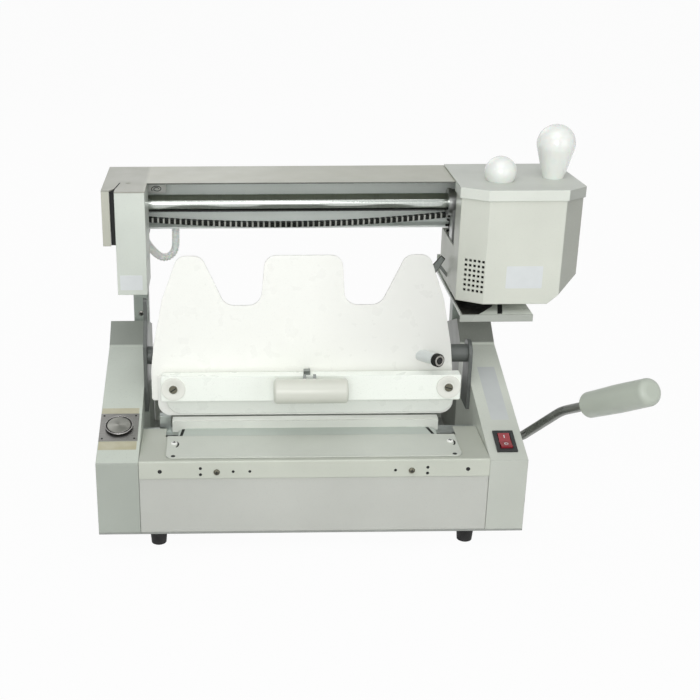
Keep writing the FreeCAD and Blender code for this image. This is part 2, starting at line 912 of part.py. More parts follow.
def make_table():
    """Front panel, folded table top with its front flange, and the low panel at the back."""
    panel_front = S.panel_recess
    panel_back = panel_front + S.panel_sheet
    sheet_outline = [
        (-panel_half, housing_floor),
        (panel_half, housing_floor),
        (panel_half, table_under),
        (-panel_half, table_under),
    ]
    finish(plate("front", "XZ", sheet_outline, panel_front, panel_back), "front_panel")
    flange_front = panel_front - S.panel_sheet
    top_outline = [
        (flange_front, S.flange_bottom),
        (panel_front, S.flange_bottom),
        (panel_front, table_under),
        (S.table_depth, table_under),
        (S.table_depth, S.table_height),
        (flange_front, S.table_height),
    ]
    bend = S.panel_sheet
    top = plate("top", "YZ", top_outline, -panel_half, panel_half, rounds=[(bend, [5])])
    deep = (table_under - 1, S.table_height + 1)
    notch = box("notch", (-S.notch_half, S.notch_half), (S.notch_front, S.table_depth + 1), deep)
    half_arm = S.nip_arm_sheet / 2 + S.crank_gap
    slots = [
        box(
            "tab_slot_%d" % number,
            (side * S.nip_arm_x - half_arm, side * S.nip_arm_x + half_arm),
            (S.nip_tab_front - S.crank_gap, S.notch_front + 1),
            deep,
        )
        for number, side in enumerate((-1, 1))
    ]
    finish(cut("table", top, notch, *slots), "table_top")
    back_outline = [
        (-panel_half, housing_floor),
        (panel_half, housing_floor),
        (panel_half, S.rear_panel_height),
        (-panel_half, S.rear_panel_height),
    ]
    back = plate("back", "XZ", back_outline, rear_face - S.panel_sheet, rear_face)
    finish(cut("back_cut", back, inlet_hole()), "rear_panel")


def make_nip_bed():
    """Fixed bed and rear bar that the book's spine is pressed on, and their side brackets."""
    bed_back = S.jaw_face_y
    bed_outline = [
        (-S.bed_left, S.bed_front),
        (S.bed_right, S.bed_front),
        (S.bed_right, bed_back),
        (-S.bed_left, bed_back),
    ]
    rounding = [(S.bed_corner_radius, [2, 3])]
    bed = plate("bed", "XY", bed_outline, rear_nip_bottom, S.bed_top, rounds=rounding)
    finish(bed, "press_bed")
    rear_back = S.jaw_face_y + S.rear_nip_thickness
    rear_outline = [
        (S.jaw_face_y, rear_nip_bottom),
        (rear_back, rear_nip_bottom),
        (rear_back, S.rear_nip_top),
        (S.jaw_face_y, S.rear_nip_top),
    ]
    rear = plate("rear_nip", "YZ", rear_outline, -S.rear_nip_left, S.rear_nip_right)
    finish(rear, "rear_nip_jaw")
    brackets = []
    for number, side in enumerate((-1, 1)):
        wall = side * S.table_half
        leg = wall - side * S.bracket_sheet
        tip = wall - side * S.shelf_reach
        shelf_under = rear_nip_bottom - S.bracket_sheet
        outline = [
            (wall, housing_floor),
            (wall, rear_nip_bottom),
            (tip, rear_nip_bottom),
            (tip, shelf_under),
            (leg, shelf_under),
            (leg, housing_floor),
        ]
        bracket = plate("nip_bracket_%d" % number, "XZ", outline, S.shelf_front, rear_back)
        ends = sorted((wall, leg), key=lambda size: size.value)
        hole_radius = S.lever_radius + S.side_clearance
        hole = rod(
            "bracket_hole_%d" % number, "X", lever_centre, ends[0] - 1, ends[1] + 1, hole_radius
        )
        brackets.append(cut("nip_bracket_cut_%d" % number, bracket, hole))
    side_stop = box("side_stop", (-S.side_stop_left, -S.side_stop_right),
                    (S.side_stop_front, rear_back), (rear_nip_bottom, S.side_stop_top))
    finish(fuse("brackets", *brackets, side_stop), "nip_brackets")


def make_nip_slide():
    """Sliding front plate with two slotted arms that the lever's cranks push."""
    nip_top = nip_under + S.nip_plate_sheet
    outline = [
        (-S.nip_plate_half, S.nip_plate_front),
        (S.nip_plate_half, S.nip_plate_front),
        (S.nip_plate_half, S.nip_plate_back),
        (-S.nip_plate_half, S.nip_plate_back),
    ]
    rounding = [(S.nip_corner_radius, [0, 1])]
    nip = plate("nip", "XY", outline, nip_under, nip_top, rounds=rounding)
    finish(nip, "front_nip_plate")
    slot_half = S.crank_pin_radius + S.crank_slot_gap
    pin_low = S.lever_z - crank_reach
    arm_bottom = pin_low - slot_half - 5
    arm_top = S.lever_z - S.lever_radius - 3
    arm_outline = [
        (S.nip_tab_front, nip_under),
        (S.nip_tab_front, S.lever_z),
        (pin_y - slot_half - 6, arm_bottom),
        (pin_y + slot_half + 5, arm_bottom),
        (pin_y + slot_half + 5, arm_top),
        (S.nip_tab_back + 12, arm_top),
        (S.nip_tab_back, S.lever_z + 4),
        (S.nip_tab_back, nip_under),
    ]
    half = S.nip_arm_sheet / 2
    arms = []
    for number, side in enumerate((-1, 1)):
        middle = side * S.nip_arm_x
        arm = plate("nip_arm_%d" % number, "YZ", arm_outline, middle - half, middle + half)
        slot = box(
            "nip_slot_%d" % number,
            (middle - half - 1, middle + half + 1),
            (pin_y - slot_half, pin_y + slot_half),
            (pin_low - slot_half, pin_z + slot_half),
        )
        arms.append(cut("nip_arm_cut_%d" % number, arm, slot))
    finish(fuse("nip_arms", *arms), "nip_slide_arms")
    heads = []
    for number, side in enumerate((-1, 1)):
        for kind, depth in (("screw", S.plate_screw_y), ("pin", S.plate_pin_y)):
            centre = (side * S.plate_screw_x, depth)
            head_top = nip_top + S.plate_screw_height
            name = "nip_%s_%d" % (kind, number)
            heads.append(rod(name, "Z", centre, nip_top, head_top, S.plate_screw_radius))
    finish(fuse("nip_heads", *heads), "nip_plate_screws")


def make_lever():
    """Press lever: cross shaft, two cranks below it, bent rod and grip, and their bearings."""
    block_inner = S.table_half - S.bracket_sheet - S.bush_length
    hub_end = right_outer + S.side_clearance + S.lever_hub_length
    shaft = rod("shaft", "X", lever_centre, -S.table_half + S.bracket_sheet + 1, hub_end,
                S.lever_radius)
    hub_start = right_outer + S.side_clearance
    hub = rod("hub", "X", lever_centre, hub_start, hub_end, S.lever_hub_radius)
    finish(fuse("lever", shaft, hub), "lever_shaft")
    bush_radius = S.lever_radius + S.bush_wall
    bore_radius = S.lever_radius + S.fit_gap
    bushes = []
    inner_wall = S.table_half + S.housing_sheet
    outer_wall = right_outer - S.housing_sheet
    spans = (
        ("left", -S.table_half + S.bracket_sheet, -block_inner),
        ("inner", inner_wall, inner_wall + S.bush_length),
        ("outer", outer_wall - S.bush_length, outer_wall),
    )
    for name, start, end in spans:
        ring = rod("bush_" + name, "X", lever_centre, start, end, bush_radius)
        bore = rod("bush_bore_" + name, "X", lever_centre, start - 1, end + 1, bore_radius)
        bushes.append(cut("bush_cut_" + name, ring, bore))
    finish(fuse("lever_bushes", *bushes), "lever_bushes")
    half_arm = S.nip_arm_sheet / 2
    cranks = []
    swing = S.lever_swing / 2
    lean_sin = trig("sin", swing)
    lean_cos = trig("cos", swing)
    end_radius = S.crank_pin_radius + 3
    for number, side in enumerate((-1, 1)):
        near = side * (S.table_half - S.shelf_reach - S.bracket_sheet)
        far = near - side * S.crank_width
        start, end = sorted((near, far), key=lambda size: size.value)
        eye = rod("crank_eye_%d" % number, "X", lever_centre, start, end, S.crank_hub_radius)
        toe = rod("crank_toe_%d" % number, "X", (pin_y, pin_z), start, end, end_radius)
        web_outline = [
            (S.lever_y - end_radius * lean_cos, S.lever_z + end_radius * lean_sin),
            (S.lever_y + end_radius * lean_cos, S.lever_z - end_radius * lean_sin),
            (pin_y + end_radius * lean_cos, pin_z - end_radius * lean_sin),
            (pin_y - end_radius * lean_cos, pin_z + end_radius * lean_sin),
        ]
        web = plate("crank_web_%d" % number, "YZ", web_outline, start, end)
        pin_tip = side * (S.nip_arm_x + half_arm + 1)
        pin_ends = sorted((far, pin_tip), key=lambda size: size.value)
        pin = rod("crank_pin_%d" % number, "X", (pin_y, pin_z), *pin_ends, S.crank_pin_radius)
        solid = fuse("crank_solid_%d" % number, eye, toe, web, pin)
        bore = rod("crank_bore_%d" % number, "X", lever_centre, start - 1, end + 1, S.lever_radius)
        cranks.append(cut("crank_cut_%d" % number, solid, bore))
    finish(fuse("cranks", *cranks), "lever_cranks")
    make_rod_and_grip(hub_end)


def bent_bar(points, bends, radius):
    """A round bar along straight runs joined by tangent arcs."""
    edges = []
    start = points[0]
    for index in range(1, len(points) - 1):
        corner = points[index]
        before = (corner - points[index - 1]).normalize()
        after = (points[index + 1] - corner).normalize()
        turn = before.getAngle(after)
        reach = bends[index - 1] * math.tan(turn / 2)
        first = corner - before * reach
        last = corner + after * reach
        inward = (after - before).normalize()
        depth = bends[index - 1] * (1 / math.cos(turn / 2) - 1)
        edges.append(Part.LineSegment(start, first).toShape())
        edges.append(Part.Arc(first, corner + inward * depth, last).toShape())
        start = last
    edges.append(Part.LineSegment(start, points[-1]).toShape())
    wire = Part.Wire(edges)
    direction = (points[1] - points[0]).normalize()
    section = Part.Wire([Part.Circle(points[0], direction, radius).toShape()])
    return wire.makePipeShell([section], True, False), wire


def make_rod_and_grip(hub_end):
    """Bent lever rod and the grip on its end."""
    start = FreeCAD.Vector(hub_end.value, S.lever_y.value, S.lever_z.value)
    root_bend_radius = S.lever_rod_radius.value * 1.6
    rod_sweep_radius = S.lever_sweep_radius.value
    corner = start + FreeCAD.Vector(root_bend_radius * 0.8, 0, 0)
    bend = corner + FreeCAD.Vector(*ROD_BEND)
    run = FreeCAD.Vector(*ROD_RUN).normalize()
    rod_end = bend + run * (S.grip_start.value + S.grip_length.value * 0.7)
    radius = S.lever_rod_radius.value
    bends = [root_bend_radius, rod_sweep_radius]
    bar, wire = bent_bar([start, corner, bend, rod_end], bends, radius)
    feature("lever_rod", bar, "lever_rod")
    print("lever rod length %.1f, volume ratio %.4f"
          % (wire.Length, bar.Volume / (wire.Length * math.pi * radius ** 2)))
    outline = [
        (0, 0),
        (S.grip_radius - 1.0, 0),
        (S.grip_radius, S.grip_length / 2),
        (S.grip_radius - 0.6, S.grip_length),
        (0, S.grip_length),
    ]
    grip = turned("grip", outline, rounds=[(S.grip_round / 2, 1), (S.grip_round, 3)])
    bore_depth = S.grip_length * 0.7
    bore = rod("grip_bore", "Z", (0, 0), 0, bore_depth, S.lever_rod_radius)
    bored = cut("grip_bored", grip, bore)
    bored.Placement = FreeCAD.Placement(
        FreeCAD.Vector(), FreeCAD.Rotation(FreeCAD.Vector(0, 0, 1), run)
    )
    along = hub_end + root_bend_radius * 0.8 + ROD_BEND[0] + S.grip_start * run.x
    across = S.lever_y + ROD_BEND[1] + S.grip_start * run.y
    above = S.lever_z + ROD_BEND[2] + S.grip_start * run.z
    finish(bored, "lever_grip", along, across, above)


def make_clamp():
    """Scalloped clamp plate, its rear jaw, side arms, stub shafts and rod bushes."""
    half_outline = [
        (S.clamp_half, S.clamp_bottom),
        (S.clamp_half, S.clamp_side_top),
        (S.clamp_neck_half, S.clamp_neck_z),
        (S.clamp_shoulder_half, S.clamp_shoulder_z),
        (S.lobe_outer, S.lobe_top),
        (S.lobe_inner, S.lobe_top),
        (S.valley_outer, S.valley_z),
        (S.valley_inner, S.valley_z),
        (S.centre_lobe_half, S.lobe_top),
    ]
    right = [(S.clamp_centre + half, height) for half, height in half_outline]
    left = [(S.clamp_centre - half, height) for half, height in reversed(half_outline)]
    last = len(half_outline) * 2 - 1
    lobes = [4, 5, 8, last - 8, last - 5, last - 4]
    valleys = [6, 7, last - 7, last - 6]
    rounding = [
        (S.valley_round, valleys),
        (S.lobe_round, lobes),
        (S.clamp_corner_round, [0, last]),
    ]
    rod_holes = [(side * S.rod_x, S.disc_z, S.rod_radius + 1) for side in (-1, 1)]
    clamp = plate("clamp", "XZ", right + left, S.clamp_front, clamp_back, rounding, rod_holes)
    finish(clamp, "clamp_plate")
    jaw_outline = [
        (-S.rear_jaw_left, S.rear_jaw_bottom),
        (S.rear_jaw_right, S.rear_jaw_bottom),
        (S.rear_jaw_right, S.rear_jaw_top),
        (-S.rear_jaw_left, S.rear_jaw_top),
    ]
    jaw = plate("rear_jaw", "XZ", jaw_outline, rear_jaw_front, S.clamp_front,
                [(S.rear_jaw_round, [0, 1])], rod_holes)
    finish(jaw, "rear_jaw")
    arms = []
    stubs = []
    blocks = []
    for side, outer, sign in (("left", clamp_left, -1), ("right", clamp_right, 1)):
        inner = outer - sign * S.arm_sheet
        start, end = sorted((outer, inner), key=lambda size: size.value)
        arm_outline = [
            (clamp_back, S.clamp_bottom + 6),
            (S.pivot_y, S.pivot_z - S.arm_eye_radius),
            (S.pivot_y + S.arm_eye_radius, S.pivot_z - S.arm_eye_radius),
            (S.pivot_y + S.arm_eye_radius, S.pivot_z + S.arm_eye_radius),
            (S.pivot_y, S.pivot_z + S.arm_eye_radius),
            (clamp_back, S.clamp_side_top - 2),
        ]
        eye_round = [(S.arm_eye_radius - 0.5, [2, 3])]
        arms.append(plate("arm_" + side, "YZ", arm_outline, start, end, eye_round,
                          [(S.pivot_y, S.pivot_z, S.pivot_radius)]))
        wall = sign * S.table_half
        stub_ends = sorted((inner - sign * 3, wall - sign * 0.5), key=lambda size: size.value)
        stubs.append(rod("stub_" + side, "X", pivot_centre, *stub_ends, S.pivot_radius))
        blocks.append(pivot_bracket(side, outer + sign * S.pivot_boss_gap, wall, sign))
    finish(fuse("arms", *arms), "clamp_arms")
    finish(fuse("stubs", *stubs), "clamp_pivot_shafts")
    finish(fuse("blocks", *blocks), "pivot_blocks")
    bushes = []
    for number, side in enumerate((-1, 1)):
        centre = (side * S.rod_x, S.disc_z)
        end = clamp_back + S.rod_bush_length
        ring = rod("rod_bush_%d" % number, "Y", centre, clamp_back, end, S.rod_bush_radius)
        bore_radius = S.rod_radius + S.fit_gap
        bore = rod("rod_bore_%d" % number, "Y", centre, clamp_back - 1, end + 1, bore_radius)
        bushes.append(cut("rod_bush_cut_%d" % number, ring, bore))
    finish(fuse("rod_bushes", *bushes), "jaw_rod_bushes")
    make_plunger()


def pivot_bracket(side, boss_face, wall, sign):
    """Upright plate on a housing's inner wall, with a bored boss that reaches to the arm."""
    front = S.pivot_y - S.pivot_plate_half
    back = S.pivot_y + S.pivot_plate_half
    top = S.pivot_z + S.pivot_plate_half
    outline = [
        (front, S.pivot_plate_bottom),
        (back, S.pivot_plate_bottom),
        (back, top),
        (front, top),
    ]
    rounding = [(S.pivot_plate_half - 1, [2, 3])]
    if side == "left":
        outline[2:3] = [
            (back, S.stop_post_top),
            (S.stop_post_front, S.stop_post_top),
            (S.stop_post_front, S.stop_post_low),
        ]
        rounding = [(3.0, [2, 3])]
    plate_face = wall - sign * S.pivot_plate_sheet
    ends = sorted((plate_face, wall), key=lambda size: size.value)
    upright = plate("pivot_plate_" + side, "YZ", outline, *ends, rounding)
    boss_ends = sorted((boss_face, plate_face), key=lambda size: size.value)
    boss = rod("pivot_boss_" + side, "X", pivot_centre, *boss_ends, S.pivot_boss_radius)
    bore_ends = sorted((boss_face - sign, wall + sign), key=lambda size: size.value)
    bore = rod("pivot_bore_" + side, "X", pivot_centre, *bore_ends, S.pivot_radius + S.fit_gap)
    return cut("pivot_bracket_" + side, fuse("pivot_solid_" + side, upright, boss), bore)


def make_plunger():
    """Lock screw on the clamp plate: a bright sleeve and a dark knurled head with a socket."""
    turn = FreeCAD.Rotation(FreeCAD.Vector(0, 0, 1), S.plunger_turn.value)
    lift = FreeCAD.Rotation(FreeCAD.Vector(1, 0, 0), 90 - S.plunger_lift.value)
    pose = FreeCAD.Placement(FreeCAD.Vector(), turn.multiply(lift))
    sleeve = rod("sleeve", "Z", (0, 0), -6, S.sleeve_length, S.sleeve_radius)
    bore = rod("sleeve_bore", "Z", (0, 0), S.sleeve_length - 8, S.sleeve_length + 1,
               S.socket_radius)
    tilted = cut("sleeve_tilted", sleeve, bore)
    tilted.Placement = pose
    place(tilted, S.plunger_x, S.clamp_front, S.plunger_z)
    reach = S.sleeve_length * 2
    behind = box("sleeve_behind", (S.plunger_x - reach, S.plunger_x + reach),
                 (S.clamp_front, S.clamp_front + reach),
                 (S.plunger_z - reach, S.plunger_z + reach))
    finish(cut("sleeve_flush", tilted, behind), "lock_screw_sleeve")
    head_start = S.sleeve_length + S.side_clearance
    head_end = head_start + S.ring_length
    neck_radius = S.socket_radius - S.fit_gap
    neck = rod("head_neck", "Z", (0, 0), S.sleeve_length - 7, head_start + 1, neck_radius)
    outline = [
        (0, head_start),
        (S.ring_radius, head_start),
        (S.ring_radius, head_end),
        (S.socket_radius, head_end),
        (S.socket_radius, head_end - S.socket_depth),
        (0, head_end - S.socket_depth),
    ]
    head = fuse("head", turned("head_ring", outline, [(0.8, 2)]), neck)
    head.Placement = pose
    finish(head, "lock_screw_head", S.plunger_x, S.clamp_front, S.plunger_z)


def make_front_jaw():
    """Sliding front jaw: bar with a thin lip, guide rods, end discs and the handle lugs."""
    bar_outline = [
        (-S.bar_half, S.bar_bottom),
        (S.bar_half, S.bar_bottom),
        (S.bar_half, S.bar_top),
        (-S.bar_half, S.bar_top),
    ]
    bar = plate("bar", "XZ", bar_outline, bar_front, bar_back, [(2.0, [0, 1, 2, 3])])
    lip_outline = [
        (-S.lip_half, S.lip_bottom),
        (S.lip_half, S.lip_bottom),
        (S.lip_half, S.bar_bottom + 1),
        (-S.lip_half, S.bar_bottom + 1),
    ]
    lip_front = bar_back - S.lip_thickness
    lip = plate("lip", "XZ", lip_outline, lip_front, bar_back, [(S.lip_round, [0, 1])])
    solid = fuse("bar_with_lip", bar, lip)
    holes = []
    rods = []
    discs = []
    for number, side in enumerate((-1, 1)):
        centre = (side * S.rod_x, S.disc_z)
        disc_centre = (side * S.disc_x, S.disc_z)
        seat = bar_front + 4
        holes.append(rod("rod_seat_%d" % number, "Y", centre, seat, bar_back + 1, S.rod_radius))
        rods.append(rod("guide_rod_%d" % number, "Y", centre, seat, S.rod_back, S.rod_radius))
        disc_front = bar_front - S.disc_thickness
        discs.append(rod("disc_%d" % number, "Y", disc_centre, disc_front, bar_front,
                         S.disc_radius))
        discs.append(rod("disc_screw_%d" % number, "Y", disc_centre,
                         disc_front - S.disc_screw_height, disc_front, S.disc_screw_radius))
    finish(cut("jaw_bar_cut", solid, *holes), "jaw_bar")
    finish(fuse("rods", *rods), "jaw_guide_rods")
    finish(fuse("discs", *discs), "jaw_discs")
    lug_back = bar_front
    lug_outline = [
        (S.cam_y, S.cam_z - S.lug_tip_half),
        (lug_back, S.cam_z - S.lug_root_half),
        (lug_back, S.cam_z + S.lug_root_half),
        (S.cam_y, S.cam_z + S.lug_tip_half),
        (S.cam_y - S.lug_nose, S.cam_z + S.lug_tip_half / 2),
        (S.cam_y - S.lug_nose, S.cam_z - S.lug_tip_half / 2),
    ]
    lugs = []
    inner = S.cam_hub_half + S.lug_gap
    for number, side in enumerate((-1, 1)):
        near = S.handle_x + side * inner
        far = near + side * S.lug_sheet
        start, end = sorted((near, far), key=lambda size: size.value)
        lugs.append(plate("lug_%d" % number, "YZ", lug_outline, start, end))
    lug_ends = (S.handle_x - inner - S.lug_sheet, S.handle_x + inner + S.lug_sheet)
    pin = rod("cam_pin", "X", (S.cam_y, S.cam_z), *lug_ends, S.cam_pin_radius)
    hook = box("cam_hook", (S.handle_x - 6, S.handle_x + 1), (bar_front + 2.5, bar_front + 8.5),
               (S.bar_top, S.bar_top + 5))
    finish(fuse("handle_lugs", *lugs, pin, hook), "handle_bracket")


def make_cam_handle():
    """Cam with its stem, and the cylinder grip across it."""
    ends = (S.handle_x - S.cam_hub_half, S.handle_x + S.cam_hub_half)
    hub = rod("cam_hub", "X", (S.cam_y, S.cam_z), *ends, S.cam_hub_radius)
    stem_front = S.handle_y + S.handle_radius - 4
    stem = rod("cam_stem", "Y", (S.handle_x, S.handle_z), stem_front, S.cam_y, S.stem_radius)
    bore_radius = S.cam_pin_radius + S.fit_gap
    bore = rod("cam_bore", "X", (S.cam_y, S.cam_z), ends[0] - 1, ends[1] + 1, bore_radius)
    narrow = box("cam_narrow", (ends[0], ends[1]), (stem_front - 1, S.cam_y + 20),
                 (S.cam_z - 20, S.cam_z + 20))
    trimmed = doc.addObject("Part::MultiCommon", "cam_trimmed")
    trimmed.Shapes = [fuse("cam_solid", hub, stem), narrow]
    finish(cut("cam", trimmed, bore), "cam_lever")
    length = S.handle_half * 2
    outline = [
        (0, 0),
        (S.handle_radius, 0),
        (S.handle_radius, length),
        (0, length),
    ]
    grip = turned("handle", outline, [(S.handle_round, 1), (S.handle_round, 2)])
    socket = rod("handle_socket", "X", (0, S.handle_half), S.handle_radius - 4,
                 S.handle_radius + 1, S.stem_radius)
    bored = cut("handle_bored", grip, socket)
    turn = FreeCAD.Rotation(
        FreeCAD.Vector(0, 1, 0), FreeCAD.Vector(0, 0, 1), FreeCAD.Vector(1, 0, 0), "ZXY"
    )
    bored.Placement = FreeCAD.Placement(FreeCAD.Vector(), turn)
    finish(bored, "handle_grip", S.handle_x - S.handle_half, S.handle_y, S.handle_z)


def make_uprights():
    """Two posts, the sheet column in front of the left one, and the beam with its cover."""
    for side, sign in (("left", -1), ("right", 1)):
        middle = sign * S.post_x
        corners = [
            (middle - post_half, S.post_front),
            (middle + post_half, S.post_front),
            (middle + post_half, post_back),
            (middle - post_half, post_back),
        ]
        rounding = [(S.cover_sheet, [0, 1, 2, 3])]
        post = plate(side + "_upright", "XY", corners, housing_floor, S.post_top, rounding)
        finish(post, side + "_post")
    column_right = -S.column_left + S.column_width
    column = box("column", (-S.column_left, column_right), (S.column_front, S.column_back),
                 (S.column_bottom, cover_under))
    inside = box("column_inside",
                 (-S.column_left + S.cover_sheet, column_right - S.cover_sheet),
                 (S.column_front + S.cover_sheet, S.column_back + 1),
                 (S.column_bottom - 1, cover_under + 1))
    finish(cut("column_cut", column, inside), "column_cover")
    channel_outline = [
        (S.beam_lip_front, S.beam_bottom - S.beam_sheet),
        (beam_back, S.beam_bottom - S.beam_sheet),
        (beam_back, cover_under),
        (S.beam_lip_front + 4, cover_under),
        (S.beam_lip_front + 4, cover_under - S.beam_sheet),
        (beam_front, cover_under - S.beam_sheet),
        (beam_front, S.beam_bottom),
        (S.beam_lip_front, S.beam_bottom),
    ]
    channel = plate("channel", "YZ", channel_outline, -S.cover_step_x - 34, S.beam_right)
    finish(channel, "beam_channel")
    top_outline = [
        (-S.cover_left, S.cover_left_front),
        (-S.cover_left + S.flap_inset, S.cover_left_front),
        (-S.cover_left + S.flap_inset + 5, S.cover_left_front + 9),
        (-S.column_left, S.cover_left_front + 9),
        (-S.column_left, S.column_front),
        (-S.cover_step_x, S.column_front),
        (-S.cover_step_x, S.cover_front),
        (S.beam_right, S.cover_front),
        (S.beam_right, beam_back),
        (-S.cover_left, beam_back),
    ]
    top = plate("cover_top", "XY", top_outline, cover_under, S.beam_top)
    flap = box("cover_flap", (-S.cover_left, -S.cover_left + S.flap_inset),
               (S.cover_left_front, S.cover_left_front + S.cover_sheet),
               (S.flap_bottom, S.beam_top))
    end_outline = [
        (S.cover_left_front, S.flap_bottom),
        (S.flap_back, S.flap_bottom - 6),
        (beam_back, S.beam_bottom),
        (beam_back, S.beam_top),
        (S.cover_left_front, S.beam_top),
    ]
    end = plate("cover_end", "YZ", end_outline, -S.cover_left, -S.cover_left + S.cover_sheet)
    finish(fuse("cover", top, flap, end), "beam_cover")
    make_shaft()


def make_shaft():
    """Ground guide shaft and the two blocks that carry it on the beam's back wall."""
    left = -S.cover_step_x - 30
    right = S.beam_right - 2
    guide = rod("guide", "X", shaft_centre, left, right, S.shaft_radius)
    finish(alone("guide_alone", guide), "guide_shaft")
    blocks = []
    for side, start in (("left", left), ("right", right - S.shaft_block_width)):
        end = start + S.shaft_block_width
        block = box("shaft_block_" + side, (start, end),
                    (S.shaft_y - S.shaft_block_half, beam_front),
                    (S.shaft_z - S.shaft_block_half, S.shaft_z + S.shaft_block_half))
        bore = rod("shaft_seat_" + side, "X", shaft_centre, start - 1, end + 1, S.shaft_radius)
        blocks.append(cut("shaft_block_cut_" + side, block, bore))
    finish(fuse("shaft_blocks", *blocks), "shaft_blocks")


def chain_points():
    """Pin centres of the sagging chain, one pitch apart, as pairs of X and Z."""
    rise = (S.chain_left_z - S.chain_low_z).value
    reach = (S.chain_low_x - S.chain_left_x).value
    bend = rise / reach ** 2
    pitch = S.chain_pitch.value
    x = S.chain_left_x.value
    points = []
    for number in range(int(S.wheel_link.value) + 1):
        z = S.chain_low_z.value + bend * (x - S.chain_low_x.value) ** 2
        points.append((x, z))
        slope = 2 * bend * (x - S.chain_low_x.value)
        x += pitch / math.hypot(1, slope)
    # Past the wheel that lifts it, the chain falls straight to its right anchor.
    fall = S.chain_fall.value
    step = pitch / math.hypot(1, fall)
    for number in range(int((S.chain_links - S.wheel_link).value)):
        x, z = points[-1]
        points.append((x + step, z - fall * step))
    return points


def link_plate(first, last, front, back):
    """One chain plate: an oblong with cut corners about two pins."""
    half = S.chain_plate_height.value / 2
    along = FreeCAD.Vector(last[0] - first[0], 0, last[1] - first[1]).normalize()
    up = FreeCAD.Vector(-along.z, 0, along.x)
    start = FreeCAD.Vector(first[0], front, first[1])
    end = FreeCAD.Vector(last[0], front, last[1])
    half_cut = half * math.tan(math.radians(22.5))
    corners = [
        start - along * half + up * half_cut,
        start - along * half_cut + up * half,
        end + along * half_cut + up * half,
        end + along * half + up * half_cut,
        end + along * half - up * half_cut,
        end + along * half_cut - up * half,
        start - along * half_cut - up * half,
        start - along * half - up * half_cut,
    ]
    wire = Part.makePolygon(corners + corners[:1])
    return Part.Face(wire).extrude(FreeCAD.Vector(0, back - front, 0))


def cross_bar(centre, radius, front, back, sides):
    """A short bar across the chain, with flat sides."""
    corners = []
    for number in range(sides):
        angle = 2 * math.pi * (number + 0.5) / sides
        corners.append(
            FreeCAD.Vector(
                centre[0] + radius * math.cos(angle), front, centre[1] + radius * math.sin(angle)
            )
        )
    wire = Part.makePolygon(corners + corners[:1])
    return Part.Face(wire).extrude(FreeCAD.Vector(0, back - front, 0))


def make_chain():
    """Roller chain: inner links with rollers, outer links with pins, and an anchor at each end."""
    points = chain_points()
    middle = S.chain_y.value
    inner_near = S.chain_roller_half.value
    inner_far = inner_near + S.chain_plate_sheet.value
    outer_near = inner_far + S.chain_play.value
    outer_far = outer_near + S.chain_plate_sheet.value
    links = []
    for number in range(len(points) - 1):
        first, last = points[number], points[number + 1]
        pieces = []
        if number % 2:
            for centre in (first, last):
                pieces.append(
                    cross_bar(centre, S.chain_roller_radius.value, middle - inner_near,
                              middle + inner_near, 8)
                )
            near, far = inner_near, inner_far
        else:
            for centre in (first, last):
                for front, back in (
                    (middle - S.chain_pin_half.value, middle - inner_far),
                    (middle + inner_far, middle + S.chain_pin_half.value),
                ):
                    pieces.append(cross_bar(centre, S.chain_pin_radius.value, front, back, 6))
            near, far = outer_near, outer_far
        pieces.append(link_plate(first, last, middle - far, middle - near))
        pieces.append(link_plate(first, last, middle + near, middle + far))
        links.append(pieces[0].multiFuse(pieces[1:]))
    feature("chain", Part.makeCompound(links), "drive_chain")
    print("chain: %d links, ends at X %.1f, Z %.1f" % (len(links), *points[-1]))
    anchors = []
    for number, (point, side) in enumerate(((points[0], -1), (points[-1], 1))):
        reach = S.anchor_width.value
        low = point[1] - S.chain_plate_height.value
        near = point[0] + side * S.chain_plate_height.value * 0.5
        eye = Part.makeBox(reach, inner_near * 2 - 0.2, S.chain_plate_height.value,
                           FreeCAD.Vector(min(near, near + side * reach), middle - inner_near + 0.1,
                                          point[1] - S.chain_plate_height.value / 2))
        tongue = Part.makeBox(S.chain_plate_height.value * 0.5 + 1, inner_near * 2 - 0.2, 2.4,
                              FreeCAD.Vector(min(point[0], near + side), middle - inner_near + 0.1,
                                             point[1] - 1.2))
        foot_x = near + side * (reach / 2)
        foot = Part.makeBox(6, beam_front.value - middle - inner_near + 0.1 + 2 * inner_near - 0.2,
                            S.chain_plate_height.value,
                            FreeCAD.Vector(foot_x - 3, middle - inner_near + 0.1,
                                           point[1] - S.chain_plate_height.value / 2))
        anchors.append(eye.multiFuse([tongue, foot]).removeSplitter())
    feature("anchors", Part.makeCompound(anchors), "chain_anchors")


def hose_path():
    """Centre line of the hose: straight runs joined by arcs as large as the runs allow."""
    depth = S.hose_y.value
    points = [FreeCAD.Vector(x, depth, z) for x, z in HOSE_ROUTE]
    radii = []
    for index in range(1, len(points) - 1):
        before = points[index] - points[index - 1]
        after = points[index + 1] - points[index]
        turn = before.getAngle(after)
        radii.append(0.45 * min(before.Length, after.Length) / math.tan(turn / 2))
    return points, radii


